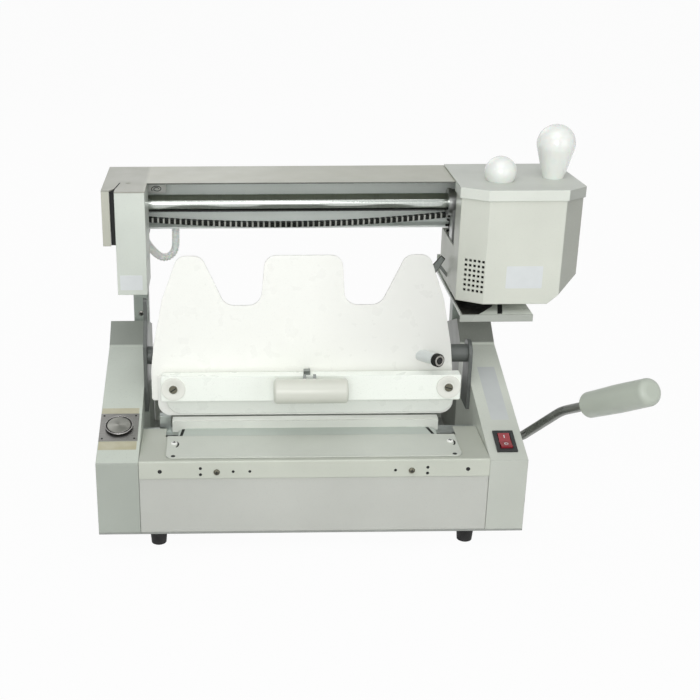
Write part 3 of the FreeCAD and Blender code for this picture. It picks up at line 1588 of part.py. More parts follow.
def make_hose():
    """Ribbed hose that hangs behind the left upright, with a gland at each end."""
    points, radii = hose_path()
    bore, wire = bent_bar(points, radii, S.hose_bore_radius.value)
    length = wire.Length
    pitch = S.hose_rib_pitch.value
    plain = 2 * S.hose_radius.value
    count = int((length - 2 * plain) / pitch)
    stations = [(0.0, S.hose_root_radius.value)]
    start = (length - count * pitch) / 2
    for number in range(count):
        foot = start + number * pitch
        stations.append((foot, S.hose_root_radius.value))
        stations.append((foot + pitch * 0.25, S.hose_radius.value))
        stations.append((foot + pitch * 0.6, S.hose_radius.value))
        stations.append((foot + pitch * 0.85, S.hose_root_radius.value))
    stations.append((length, S.hose_root_radius.value))
    rings = []
    for distance, radius in stations:
        centre, direction = point_on(wire, distance)
        circle = Part.Circle()
        circle.Center = centre
        circle.Axis = direction
        circle.XAxis = FreeCAD.Vector(0, 1, 0)
        circle.Radius = radius
        rings.append(Part.Wire([circle.toShape()]))
    skin = Part.makeLoft(rings, True, True)
    feature("hose", skin.cut(bore), "heater_hose")
    print("hose length %.1f, %d ribs, radii %s" % (length, count, [round(r, 1) for r in radii]))
    print("hose bore volume ratio %.4f"
          % (bore.Volume / (length * math.pi * S.hose_bore_radius.value ** 2)))
    glands = []
    bracket = S.gland_sheet.value
    depth = S.hose_y.value
    for number, (x, z) in enumerate((HOSE_ROUTE[0], HOSE_ROUTE[-1])):
        gland = Part.makeCylinder(S.gland_radius.value, S.gland_length.value,
                                  FreeCAD.Vector(x, depth, z))
        top = z + S.gland_length.value
        half = S.gland_radius.value + 1.5
        if number == 0:
            plate_shape = Part.makeBox(2 * half, depth + half - beam_back.value, bracket,
                                       FreeCAD.Vector(x - half, beam_back.value, top))
        else:
            inner = -S.post_x.value + post_half.value
            plate_shape = Part.makeBox(x + half - inner, 2 * half, bracket,
                                       FreeCAD.Vector(inner, depth - half, top))
        glands.append(gland.fuse(plate_shape).removeSplitter())
    feature("glands", Part.makeCompound(glands), "hose_glands")


def point_on(wire, distance):
    """Point and direction at a distance along a wire."""
    for edge in wire.OrderedEdges:
        if distance <= edge.Length + 1e-6:
            parameter = edge.getParameterByLength(min(distance, edge.Length))
            return edge.valueAt(parameter), edge.tangentAt(parameter)
        distance -= edge.Length
    last = wire.OrderedEdges[-1]
    return last.valueAt(last.LastParameter), last.tangentAt(last.LastParameter)


def box_plan(grow=0):
    """Plan of the glue box: chamfered front corners and a slanted right rear corner."""
    grow = as_size(grow)
    return [
        (S.box_left - grow, S.box_shoulder_y - 0.6 * grow),
        (S.box_front_left - grow, S.box_front - grow),
        (S.box_front_right + grow, S.box_front - grow),
        (S.box_right + grow, S.box_shoulder_y - 0.6 * grow),
        (S.box_right - 4 + grow, S.box_side_end),
        (S.box_rear_right, S.box_rear),
        (S.box_left - grow, S.box_rear),
    ]


def make_glue_box():
    """Carriage housing: folded box with a cut lower corner, vents and a tunnel for the beam."""
    body = plate("glue_shell", "XY", box_plan(), S.box_bottom, S.box_top)
    corner = outline_sketch(
        body,
        "corner_outline",
        "XZ",
        [
            (S.box_cut_x, S.box_bottom - 1),
            (S.box_right + 5, S.box_bottom - 1),
            (S.box_right + 5, S.box_cut_z + 4),
            (S.box_right, S.box_cut_z),
        ],
    )
    before = body.Tip.Shape.Volume
    pocket = body.newObject("PartDesign::Pocket", "corner_pocket")
    pocket.Profile = corner
    pocket.Type = 1
    pocket.Midplane = True
    body.Tip = pocket
    doc.recompute()
    print("box corner takes %.0f mm3" % (before - body.Tip.Shape.Volume))
    hollow(body, "glue_sheet", S.box_sheet, (0, 0, 1))
    tunnel = box("tunnel", (S.box_left - 20, S.box_right + 20), (S.tunnel_front, S.box_rear + 20),
                 (S.tunnel_bottom, S.box_top + 20))
    roller_slot = box("roller_slot",
                      (S.roller_x - S.roller_radius - 1.5, S.roller_x + S.roller_radius + 1.5),
                      (S.roller_y - S.roller_half - 1, S.roller_y + S.roller_half + 1),
                      (S.box_bottom - 1, S.box_bottom + S.box_sheet + 1))
    run_x = S.box_front_left - S.box_left
    run_y = S.box_shoulder_y - S.box_front
    angle = -math.degrees(math.atan2(run_y.value, run_x.value))
    holes = []
    for column in range(int(S.vent_columns.value)):
        for line in range(int(S.vent_rows.value)):
            hole = box("vent_%d_%d" % (column, line),
                       (S.vent_start + column * S.vent_pitch,
                        S.vent_start + column * S.vent_pitch + S.vent_size),
                       (-4, 4),
                       (S.vent_top - line * S.vent_row_pitch - S.vent_size,
                        S.vent_top - line * S.vent_row_pitch))
            holes.append(hole)
    vents = fuse("vents", *holes)
    vents.Placement = FreeCAD.Placement(
        FreeCAD.Vector(), FreeCAD.Rotation(FreeCAD.Vector(0, 0, 1), angle)
    )
    place(vents, S.box_left, S.box_shoulder_y, 0)
    finish(cut("glue_box_cut", body, tunnel, roller_slot, vents), "glue_box")
    make_lid()
    make_carriage_inside()


def make_lid():
    """Lift-off lid with a rim round the front and sides, and the two knobs that lift it."""
    rim_bottom = S.lid_top - S.lid_rim
    body = plate("lid", "XY", box_plan(S.lid_overhang), rim_bottom, S.lid_top)
    hollow(body, "lid_sheet", S.lid_sheet, (0, 0, -1))
    passage = box("lid_passage", (S.box_left - 20, S.box_right + 20),
                  (S.tunnel_front, S.box_rear + 20), (rim_bottom - 1, lid_under))
    finish(cut("lid_cut", body, passage), "glue_box_lid")
    ball = doc.addObject("Part::Sphere", "ball")
    bind(ball, "Radius", S.ball_radius)
    place(ball, S.ball_x, S.ball_y, S.ball_centre_z)
    below = box("below_ball", (S.ball_x - 30, S.ball_x + 30), (S.ball_y - 30, S.ball_y + 30),
                (S.lid_top - 40, S.lid_top))
    finish(cut("ball_flat", ball, below), "lid_ball_knob")
    egg_centre = S.egg_top - S.egg_radius
    egg_height = egg_centre - S.lid_top
    sphere = doc.addObject("Part::Sphere", "egg")
    bind(sphere, "Radius", S.egg_radius)
    place(sphere, S.egg_x, S.egg_y, egg_centre)
    taper_sin = trig("sin", S.egg_taper)
    taper_cos = trig("cos", S.egg_taper)
    shoulder_z = egg_centre - S.egg_radius * taper_sin
    shoulder_radius = S.egg_radius * taper_cos
    foot_radius = (S.egg_radius - egg_height * taper_sin) / taper_cos
    cone = taper("egg_cone", (S.egg_x, S.egg_y), S.lid_top, shoulder_z, foot_radius,
                 shoulder_radius)
    under = box("below_egg", (S.egg_x - 30, S.egg_x + 30), (S.egg_y - 30, S.egg_y + 30),
                (S.lid_top, shoulder_z))
    finish(fuse("egg_joined", cut("egg_upper", sphere, under), cone), "lid_egg_knob")


def make_carriage_inside():
    """Bearings on the guide shaft with their hanger, the glue pot, the roller and chain wheel."""
    bore_radius = S.shaft_radius + S.fit_gap
    rings = []
    bores = []
    starts = (("first", S.bearing_start), ("second", S.second_bearing_start))
    for name, start in starts:
        end = start + S.bearing_length
        rings.append(rod("bearing_" + name, "X", shaft_centre, start, end, S.bearing_radius))
        bores.append(rod("bearing_bore_" + name, "X", shaft_centre, start - 1, end + 1,
                         bore_radius))
    flange = rod("bearing_flange", "X", shaft_centre, S.bearing_start,
                 S.bearing_start + S.bearing_flange, S.bearing_flange_radius)
    hanger = box("hanger",
                 (S.box_left + S.box_sheet, S.second_bearing_start + S.bearing_length),
                 (S.hanger_front, S.hanger_back), (S.tunnel_bottom - 5, S.shaft_z))
    clear = rod("hanger_clear", "X", shaft_centre, S.bearing_start - 1, S.box_right,
                S.shaft_radius + 0.6)
    lane = box("hanger_lane", (S.bearing_start - 1, S.box_right),
               (S.chain_y - 7, S.chain_y + 7), (S.tunnel_bottom - 20, S.shaft_z - 12))
    seat_x, centre_z = wheel_centre()
    axle_bore = rod("hanger_axle_bore", "Y", (seat_x, centre_z), S.hanger_front - 1,
                    S.hanger_back + 1, S.axle_radius + S.fit_gap)
    solid = cut("hanger_cut", hanger, clear, lane, axle_bore)
    finish(cut("bearings_cut", fuse("bearings", *rings, flange, solid), *bores),
           "carriage_bearing")
    pot_floor = S.box_bottom + S.box_sheet
    outside = box("pot_outside", (S.pot_left, S.pot_right), (S.pot_front, S.pot_back),
                  (pot_floor, pot_floor + S.pot_height))
    inside = box("pot_inside", (S.pot_left + S.pot_wall, S.pot_right - S.pot_wall),
                 (S.pot_front + S.pot_wall, S.pot_back - S.pot_wall),
                 (pot_floor + S.pot_wall, pot_floor + S.pot_height + 1))
    pot = cut("pot", outside, inside)
    roller_z = S.roller_bottom + S.roller_radius
    centre = (S.roller_x, roller_z)
    drum = rod("roller_drum", "Y", centre, S.roller_y - S.roller_half, S.roller_y + S.roller_half,
               S.roller_radius)
    axle = rod("roller_axle", "Y", centre, S.roller_y - S.axle_half, S.roller_y + S.axle_half,
               S.axle_radius)
    finish(fuse("roller", drum, axle), "glue_roller")
    cheeks = []
    for number, side in enumerate((-1, 1)):
        near = S.roller_y + side * (S.roller_half + 3)
        far = near + side * S.pot_wall
        start, end = sorted((near, far), key=lambda size: size.value)
        outline = [
            (S.roller_x - 8, pot_floor),
            (S.pot_left, pot_floor),
            (S.pot_left, pot_floor + 24),
            (S.roller_x - 8, pot_floor + 24),
        ]
        cheeks.append(plate("cheek_%d" % number, "XZ", outline, start, end,
                            holes=[(S.roller_x, roller_z, S.axle_radius + S.fit_gap)]))
    finish(fuse("pot_with_cheeks", pot, *cheeks), "glue_pot")
    make_chain_wheel()


def wheel_pitch_radius():
    """Distance from the wheel's centre to the roller in each seat."""
    return S.chain_pitch.value / (2 * math.sin(math.pi / S.wheel_teeth.value))


def wheel_centre():
    """Centre of the chain wheel, below the pin that it lifts, as X and Z."""
    seat_x, seat_z = chain_points()[int(S.wheel_link.value)]
    return seat_x, seat_z - wheel_pitch_radius()


def make_chain_wheel():
    """Toothed wheel that the carriage rolls along the chain, with a seat for each roller."""
    pitch_radius = wheel_pitch_radius()
    seat_radius = S.chain_roller_radius + S.chain_play
    outer = pitch_radius + S.chain_roller_radius
    half = S.wheel_width / 2
    wheel = plate_disc("wheel_disc", outer, half)
    seat = outline_sketch(wheel, "seat_outline", "XZ", [
        (-seat_radius, pitch_radius - seat_radius),
        (seat_radius, pitch_radius - seat_radius),
        (seat_radius * 1.6, outer + 1),
        (-seat_radius * 1.6, outer + 1),
    ])
    solid = wheel.Tip
    before = solid.Shape.Volume
    pocket = wheel.newObject("PartDesign::Pocket", "seat")
    pocket.Profile = seat
    pocket.Type = 1
    pocket.Midplane = True
    wheel.Tip = pocket
    doc.recompute()
    pattern = wheel.newObject("PartDesign::PolarPattern", "seats")
    pattern.Originals = [pocket]
    pattern.Axis = (seat, ["N_Axis"])
    pattern.Angle = 360
    pattern.Occurrences = int(S.wheel_teeth.value)
    bind(pattern, "Occurrences", S.wheel_teeth)
    wheel.Tip = pattern
    doc.recompute()
    print("wheel seats take %.0f mm3" % (before - pattern.Shape.Volume))
    seat_x, centre_z = wheel_centre()
    axle = rod("wheel_axle", "Y", (0, 0), S.hanger_back - S.chain_y - 6, half + 2, S.axle_radius)
    hub = rod("wheel_hub", "Y", (0, 0), S.hanger_back - S.chain_y + S.side_clearance, 0,
              S.axle_radius + 3)
    finish(fuse("wheel", wheel, axle, hub), "chain_wheel", seat_x, S.chain_y, centre_z)


def plate_disc(name, radius, half):
    """A round disc across Y, from -half to half."""
    body = doc.addObject("PartDesign::Body", name)
    sketch = body.newObject("Sketcher::SketchObject", name + "_outline")
    plane = [item for item in body.Origin.OriginFeatures if item.Role == "XZ_Plane"][0]
    sketch.AttachmentSupport = [(plane, "")]
    sketch.MapMode = "FlatFace"
    circle = sketch.addGeometry(
        Part.Circle(FreeCAD.Vector(), FreeCAD.Vector(0, 0, 1), as_size(radius).value)
    )
    sketch.addConstraint(Sketcher.Constraint("Coincident", circle, 3, -1, 1))
    number = sketch.addConstraint(Sketcher.Constraint("Radius", circle, as_size(radius).value))
    bind(sketch, "Constraints[%d]" % number, radius)
    pad = body.newObject("PartDesign::Pad", name + "_pad")
    pad.Profile = sketch
    pad.Midplane = True
    bind(pad, "Length", 2 * as_size(half))
    body.Tip = pad
    doc.recompute()
    return body


def make_tray():
    """Drip tray under the parked glue box, hung on the right post."""
    under = S.tray_top - S.tray_sheet
    floor = box("tray_floor", (S.tray_left, S.tray_right), (S.tray_front, S.tray_back),
                (under, S.tray_top))
    lip = box("tray_lip", (S.tray_left, S.tray_right),
              (S.tray_front, S.tray_front + S.tray_sheet), (S.tray_top - S.tray_lip, S.tray_top))
    rim = box("tray_rim", (S.tray_left, S.tray_left + S.tray_sheet), (S.tray_front, S.tray_back),
              (under, S.tray_top + S.tray_sheet))
    tab_top = S.tray_top + S.tray_tab_height
    tab = box("tray_tab", (S.tray_left, S.post_x - post_half),
              (S.tray_back - S.tray_sheet, S.tray_back), (under, tab_top))
    gap = S.tray_notch_gap
    notch = box("tray_notch", (S.post_x - post_half - gap, S.post_x + post_half + gap),
                (S.post_front, post_back + gap), (under - 1, S.tray_top + 1))
    slot_outline = [
        (S.tray_slot_left - S.tray_slot_slant, S.tray_slot_front),
        (S.tray_slot_right - S.tray_slot_slant, S.tray_slot_front),
        (S.tray_slot_right, S.tray_slot_back),
        (S.tray_slot_left, S.tray_slot_back),
    ]
    slot = plate("tray_slot", "XY", slot_outline, under - 1, S.tray_top + 1)
    seat = box("tray_seat", (S.post_x - post_half, S.post_x + post_half),
               (S.post_front - S.bracket_sheet, S.post_front), (under - 22, under))
    finish(fuse("tray", cut("tray_cut", fuse("tray_solid", floor, lip, rim, tab), notch, slot),
                seat), "drip_tray")


def make_screws():
    """Screw heads on the front flange and on the left post."""
    heads = []
    flange_front = S.panel_recess - S.panel_sheet
    for number, side in enumerate((-1, 1)):
        centre = (side * S.strip_screw_x, S.strip_screw_z)
        heads.append(rod("strip_screw_%d" % number, "Y", centre, flange_front - S.screw_height,
                         flange_front, S.screw_radius))
    heads.append(rod("post_screw", "Y", (-S.post_x, S.post_screw_z), S.post_front - S.screw_height,
                     S.post_front, S.screw_radius))
    finish(fuse("heads", *heads), "frame_screws")


make_base()
make_housings()
make_dial()
make_switch()
make_inlet()
make_table()
make_nip_bed()
make_nip_slide()
make_lever()
make_clamp()
make_front_jaw()
make_cam_handle()
make_uprights()
make_chain()
make_hose()
make_glue_box()
make_tray()
make_screws()
doc.recompute()

problems = []
for thing in doc.Objects:
    if "Invalid" in thing.State or "Error" in thing.State:
        problems.append("%s is %s" % (thing.Name, thing.State))
for piece in FINISHED:
    if piece.Shape.isNull() or not piece.Shape.isValid():
        problems.append("%s has no valid shape" % piece.Label)
    elif not piece.Shape.Solids:
        problems.append("%s has no solid" % piece.Label)
if problems:
    raise RuntimeError("; ".join(problems))

os.makedirs("parts", exist_ok=True)
outline = FreeCAD.BoundBox()
for piece in FINISHED:
    outline.add(piece.Shape.optimalBoundingBox(False, False))
    piece.Shape.exportStep(os.path.join("parts", piece.Label + ".step"))
print("%d sub-parts, %.1f x %.1f x %.1f mm" % (len(FINISHED), outline.XLength, outline.YLength,
                                             outline.ZLength))
print("middle at X %.2f, Y %.2f, lowest Z %.2f" % (outline.Center.x, outline.Center.y, outline.ZMin))
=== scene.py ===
import math
import random

import bmesh
import bpy
from mathutils import Matrix, Vector


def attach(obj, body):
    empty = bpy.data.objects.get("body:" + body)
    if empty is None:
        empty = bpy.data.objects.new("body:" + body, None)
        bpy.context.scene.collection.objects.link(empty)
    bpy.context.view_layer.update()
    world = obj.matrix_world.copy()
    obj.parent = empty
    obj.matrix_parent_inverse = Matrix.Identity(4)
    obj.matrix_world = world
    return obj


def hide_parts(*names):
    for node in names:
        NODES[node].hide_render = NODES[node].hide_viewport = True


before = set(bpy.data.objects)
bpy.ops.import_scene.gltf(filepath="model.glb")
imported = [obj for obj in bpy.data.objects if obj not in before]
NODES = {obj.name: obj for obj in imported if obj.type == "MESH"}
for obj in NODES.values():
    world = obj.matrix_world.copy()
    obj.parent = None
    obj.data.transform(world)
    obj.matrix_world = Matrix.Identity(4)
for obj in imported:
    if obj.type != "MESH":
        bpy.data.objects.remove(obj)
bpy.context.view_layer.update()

# Places are in the millimetres of the machine's own drawing: X from the middle of the gap between
# the housings, Y from their front faces and Z from the table. PLACE turns them into the frame.
ORIGIN_X = 51.82
ORIGIN_Y = 109.83
PLACE = Matrix.Scale(0.001, 4) @ Matrix.Translation((-ORIGIN_X, -ORIGIN_Y, 0))
SLOPE = math.radians(15.87)
FOLD_HEIGHT = 101.0
HOSE_ROUTE = [
    (-149.6, 270.0, 289.0),
    (-149.6, 270.0, 266.0),
    (-150.2, 269.6, 249.2),
    (-156.4, 268.4, 240.8),
    (-165.6, 266.2, 239.2),
    (-172.8, 263.4, 244.8),
    (-178.8, 260.0, 253.0),
    (-183.6, 256.6, 261.4),
    (-186.6, 254.8, 269.5),
]
random.seed(11)


def metres(x, y, z):
    """A place of the drawing as a point of the frame."""
    return PLACE @ Vector((x, y, z))


def make_camera():
    """The photograph's viewpoint."""
    pitch, yaw, roll = (math.radians(angle) for angle in (21.563, 0.92, 0.101))
    ahead = Vector((math.sin(yaw) * math.cos(pitch), math.cos(yaw) * math.cos(pitch),
                    -math.sin(pitch)))
    level = Vector((math.cos(yaw), -math.sin(yaw), 0))
    down = ahead.cross(level)
    right = level * math.cos(roll) + down * math.sin(roll)
    up = level * math.sin(roll) - down * math.cos(roll)
    data = bpy.data.cameras.new("camera")
    data.lens = 62.14
    data.sensor_width = 36.0
    data.shift_x = 0.14705
    data.shift_y = -0.0067
    camera = bpy.data.objects.new("camera", data)
    turn = Matrix((right, up, -ahead)).transposed().to_4x4()
    camera.matrix_world = Matrix.Translation((-0.139301, -1.223964, 0.671649)) @ turn
    bpy.context.scene.collection.objects.link(camera)
    bpy.context.scene.camera = camera


class Shader:
    """A node material built up from a few kinds of texture."""

    def __init__(self, name):
        self.material = bpy.data.materials.new(name)
        self.material.use_nodes = True
        self.tree = self.material.node_tree
        self.bsdf = self.tree.nodes["Principled BSDF"]
        self.coord = self.new("ShaderNodeTexCoord").outputs["Object"]

    def new(self, kind, **settings):
        node = self.tree.nodes.new(kind)
        for key, value in settings.items():
            setattr(node, key, value)
        return node

    def link(self, source, target):
        self.tree.links.new(source, target)

    def noise(self, scale, detail=2.0, stretch=(1, 1, 1), rough=0.5):
        mapping = self.new("ShaderNodeMapping")
        mapping.inputs["Scale"].default_value = stretch
        self.link(self.coord, mapping.inputs["Vector"])
        node = self.new("ShaderNodeTexNoise")
        node.inputs["Scale"].default_value = scale
        node.inputs["Detail"].default_value = detail
        node.inputs["Roughness"].default_value = rough
        self.link(mapping.outputs["Vector"], node.inputs["Vector"])
        return node.outputs["Fac"]

    def spread(self, source, low, high, start=0.3, end=0.7):
        node = self.new("ShaderNodeMapRange")
        for key, value in (("From Min", start), ("From Max", end), ("To Min", low),
                           ("To Max", high)):
            node.inputs[key].default_value = value
        self.link(source, node.inputs["Value"])
        return node.outputs["Result"]

    def beyond(self, axis, place, width):
        """1 past a place of the drawing on an axis and 0 before it."""
        split = self.new("ShaderNodeSeparateXYZ")
        self.link(self.coord, split.inputs[0])
        start = place * 0.001 - (ORIGIN_X, ORIGIN_Y, 0)["XYZ".index(axis)] * 0.001
        return self.spread(split.outputs["XYZ".index(axis)], 0, 1, start, start + width * 0.001)

    def less(self, share, other):
        node = self.new("ShaderNodeMath", operation="SUBTRACT", use_clamp=True)
        self.link(share, node.inputs[0])
        self.link(other, node.inputs[1])
        return node.outputs[0]

    def dim(self, source, factor):
        node = self.new("ShaderNodeMix", data_type="RGBA", blend_type="MULTIPLY")
        node.inputs[0].default_value = 1
        self.link(source, node.inputs[6])
        node.inputs[7].default_value = (factor, factor, factor, 1)
        return node.outputs[2]

    def mix(self, factor, first, second):
        node = self.new("ShaderNodeMix", data_type="RGBA")
        for socket, value in ((node.inputs[6], first), (node.inputs[7], second)):
            if isinstance(value, (tuple, list)):
                socket.default_value = (*value[:3], 1)
            else:
                self.link(value, socket)
        if isinstance(factor, (int, float)):
            node.inputs[0].default_value = factor
        else:
            self.link(factor, node.inputs[0])
        return node.outputs[2]

    def with_painted_light(self, base, painted_light_zones):
        """The colour, with light and shade painted in: changed by a factor in each zone of the
        drawing.
        """
        for axis, place, width, factor, *bound in painted_light_zones:
            share = self.beyond(axis, place, width)
            if bound:
                share = self.less(share, self.beyond(*bound, 0.5))
            base = self.mix(share, base, self.dim(base, factor))
        return base

    def bump(self, height, strength, distance, edge=0.0):
        node = self.new("ShaderNodeBump")
        node.inputs["Strength"].default_value = strength
        node.inputs["Distance"].default_value = distance
        self.link(height, node.inputs["Height"])
        if edge:
            bevel = self.new("ShaderNodeBevel", samples=6)
            bevel.inputs["Radius"].default_value = edge
            self.link(bevel.outputs["Normal"], node.inputs["Normal"])
        self.link(node.outputs["Normal"], self.bsdf.inputs["Normal"])

    def colour(self, source):
        self.link(source, self.bsdf.inputs["Base Color"])

    def roughness(self, source):
        self.link(source, self.bsdf.inputs["Roughness"])

    def set(self, **values):
        for key, value in values.items():
            self.bsdf.inputs[key.replace("_", " ")].default_value = value


def srgb(red, green, blue):
    """Linear colour of three screen values from 0 to 255."""
    return tuple(((v / 255 + 0.055) / 1.055) ** 2.4 if v > 10 else v / 3295 for v in
                 (red, green, blue))


def tinted(colour, factor):
    return tuple(min(1.0, part * factor) for part in colour)


def paint(name, colour, rough=0.42, grain=1.0, shade=0.05, painted_light_zones=()):
    """Sprayed enamel on sheet metal: faint clouds, orange peel and a softened edge.

    Each zone paints light (a factor above 1) or shade (below 1) into the colour: an axis, a place
    of the drawing on it, the width of the change and a factor for the colour beyond that place, and
    perhaps an axis and a place that it ends below."""
    s = Shader(name)
    clouds = s.spread(s.noise(14, 3), 0, 1)
    base = s.mix(clouds, tinted(colour, 1 - shade), tinted(colour, 1 + shade * 0.6))
    base = s.with_painted_light(base, painted_light_zones)
    specks = s.spread(s.noise(900, 1), 0, 0.35, 0.62, 0.75)
    s.colour(s.mix(specks, base, tinted(colour, 0.82)))
    s.roughness(s.spread(s.noise(45, 4), rough - 0.06, rough + 0.07))
    s.bump(s.noise(520, 2), 0.16 * grain, 0.0004, 0.0011)
    s.set(Specular_IOR_Level=0.45, Coat_Weight=0.12, Coat_Roughness=0.25)
    return s.material


def plastic(name, colour, rough=0.3, coat=0.0, shade=0.04, peel=0.05, soft=0.0):
    """Moulded plastic with a faint flow pattern."""
    s = Shader(name)
    clouds = s.spread(s.noise(22, 3), 0, 1)
    s.colour(s.mix(clouds, tinted(colour, 1 - shade), tinted(colour, 1 + shade)))
    s.roughness(s.spread(s.noise(70, 4), rough - 0.05, rough + 0.06))
    s.bump(s.noise(600, 2), peel, 0.0004, 0.0006)
    s.set(Coat_Weight=coat, Coat_Roughness=0.06, Subsurface_Weight=soft,
          Subsurface_Scale=0.004)
    return s.material


def steel(name, colour, rough=0.3, stretch=(1, 1, 1), line=900, depth=0.12, shade=0.12,
          edge=0.0006, painted_light_zones=()):
    """Metal with fine tool marks along one axis, and zones of painted light and shade as in paint.
    """
    s = Shader(name)
    marks = s.noise(line, 3, stretch)
    stains = s.spread(s.noise(30, 4), 0, 1)
    base = s.mix(stains, tinted(colour, 1 - shade), tinted(colour, 1 + shade * 0.5))
    base = s.with_painted_light(base, painted_light_zones)
    s.colour(s.mix(s.spread(marks, 0, 0.5), base, s.dim(base, 0.75)))
    s.roughness(s.spread(marks, rough * 0.75, rough * 1.3))
    s.bump(marks, depth, 0.0002, edge)
    s.set(Metallic=1.0)
    return s.material


def links(name, dark, bright):
    """Oily chain steel, lighter once in each pitch."""
    s = Shader(name)
    wave = s.new("ShaderNodeTexWave", bands_direction="X")
    wave.inputs["Scale"].default_value = 49.5
    wave.inputs["Distortion"].default_value = 0.4
    s.link(s.coord, wave.inputs["Vector"])
    s.colour(s.mix(s.spread(wave.outputs["Fac"], 0, 1, 0.62, 0.98), dark, bright))
    s.roughness(s.spread(s.noise(90, 3), 0.24, 0.4))
    s.bump(s.noise(420, 3), 0.2, 0.0002, 0.0002)
    s.set(Metallic=1.0)
    return s.material


def turned(name, colour):
    """Face turned on a lathe, with the highlight drawn out from the middle."""
    s = Shader(name)
    stains = s.spread(s.noise(90, 4), 0, 1)
    s.colour(s.mix(stains, tinted(colour, 0.88), colour))
    s.roughness(s.spread(s.noise(40, 3), 0.3, 0.38))
    tangent = s.new("ShaderNodeTangent", direction_type="RADIAL", axis="Z")
    s.link(tangent.outputs["Tangent"], s.bsdf.inputs["Tangent"])
    s.bump(s.noise(400, 2), 0.03, 0.0002, 0.0003)
    s.set(Metallic=1.0, Anisotropic=0.9)
    return s.material


def rubber(name, colour):
    """Dull black rubber with a little dust on it."""
    s = Shader(name)
    dust = s.spread(s.noise(60, 5, rough=0.65), 0, 0.5, 0.5, 0.8)
    s.colour(s.mix(dust, colour, tinted(colour, 3.0)))
    s.roughness(s.spread(s.noise(120, 3), 0.6, 0.85))
    s.bump(s.noise(420, 3), 0.3, 0.0006, 0.0012)
    return s.material


def tape(name):
    """Strip of yellowed sticking tape: thin, crinkled and a little shiny."""
    s = Shader(name)
    base = s.mix(s.spread(s.noise(60, 3), 0, 1), srgb(174, 169, 140), srgb(190, 187, 165))
    s.colour(base)
    s.roughness(s.spread(s.noise(200, 3), 0.3, 0.5))
    s.bump(s.noise(260, 3, (1, 3, 1)), 0.35, 0.0004)
    return s.material


def sticker(name, colour):
    """Bare printed-label stock: smooth film with a faint mottle."""
    s = Shader(name)
    s.colour(s.mix(s.spread(s.noise(80, 4), 0, 1), tinted(colour, 0.96), colour))
    s.roughness(s.spread(s.noise(160, 2), 0.28, 0.36))
    s.bump(s.noise(900, 1), 0.04, 0.0002)
    return s.material


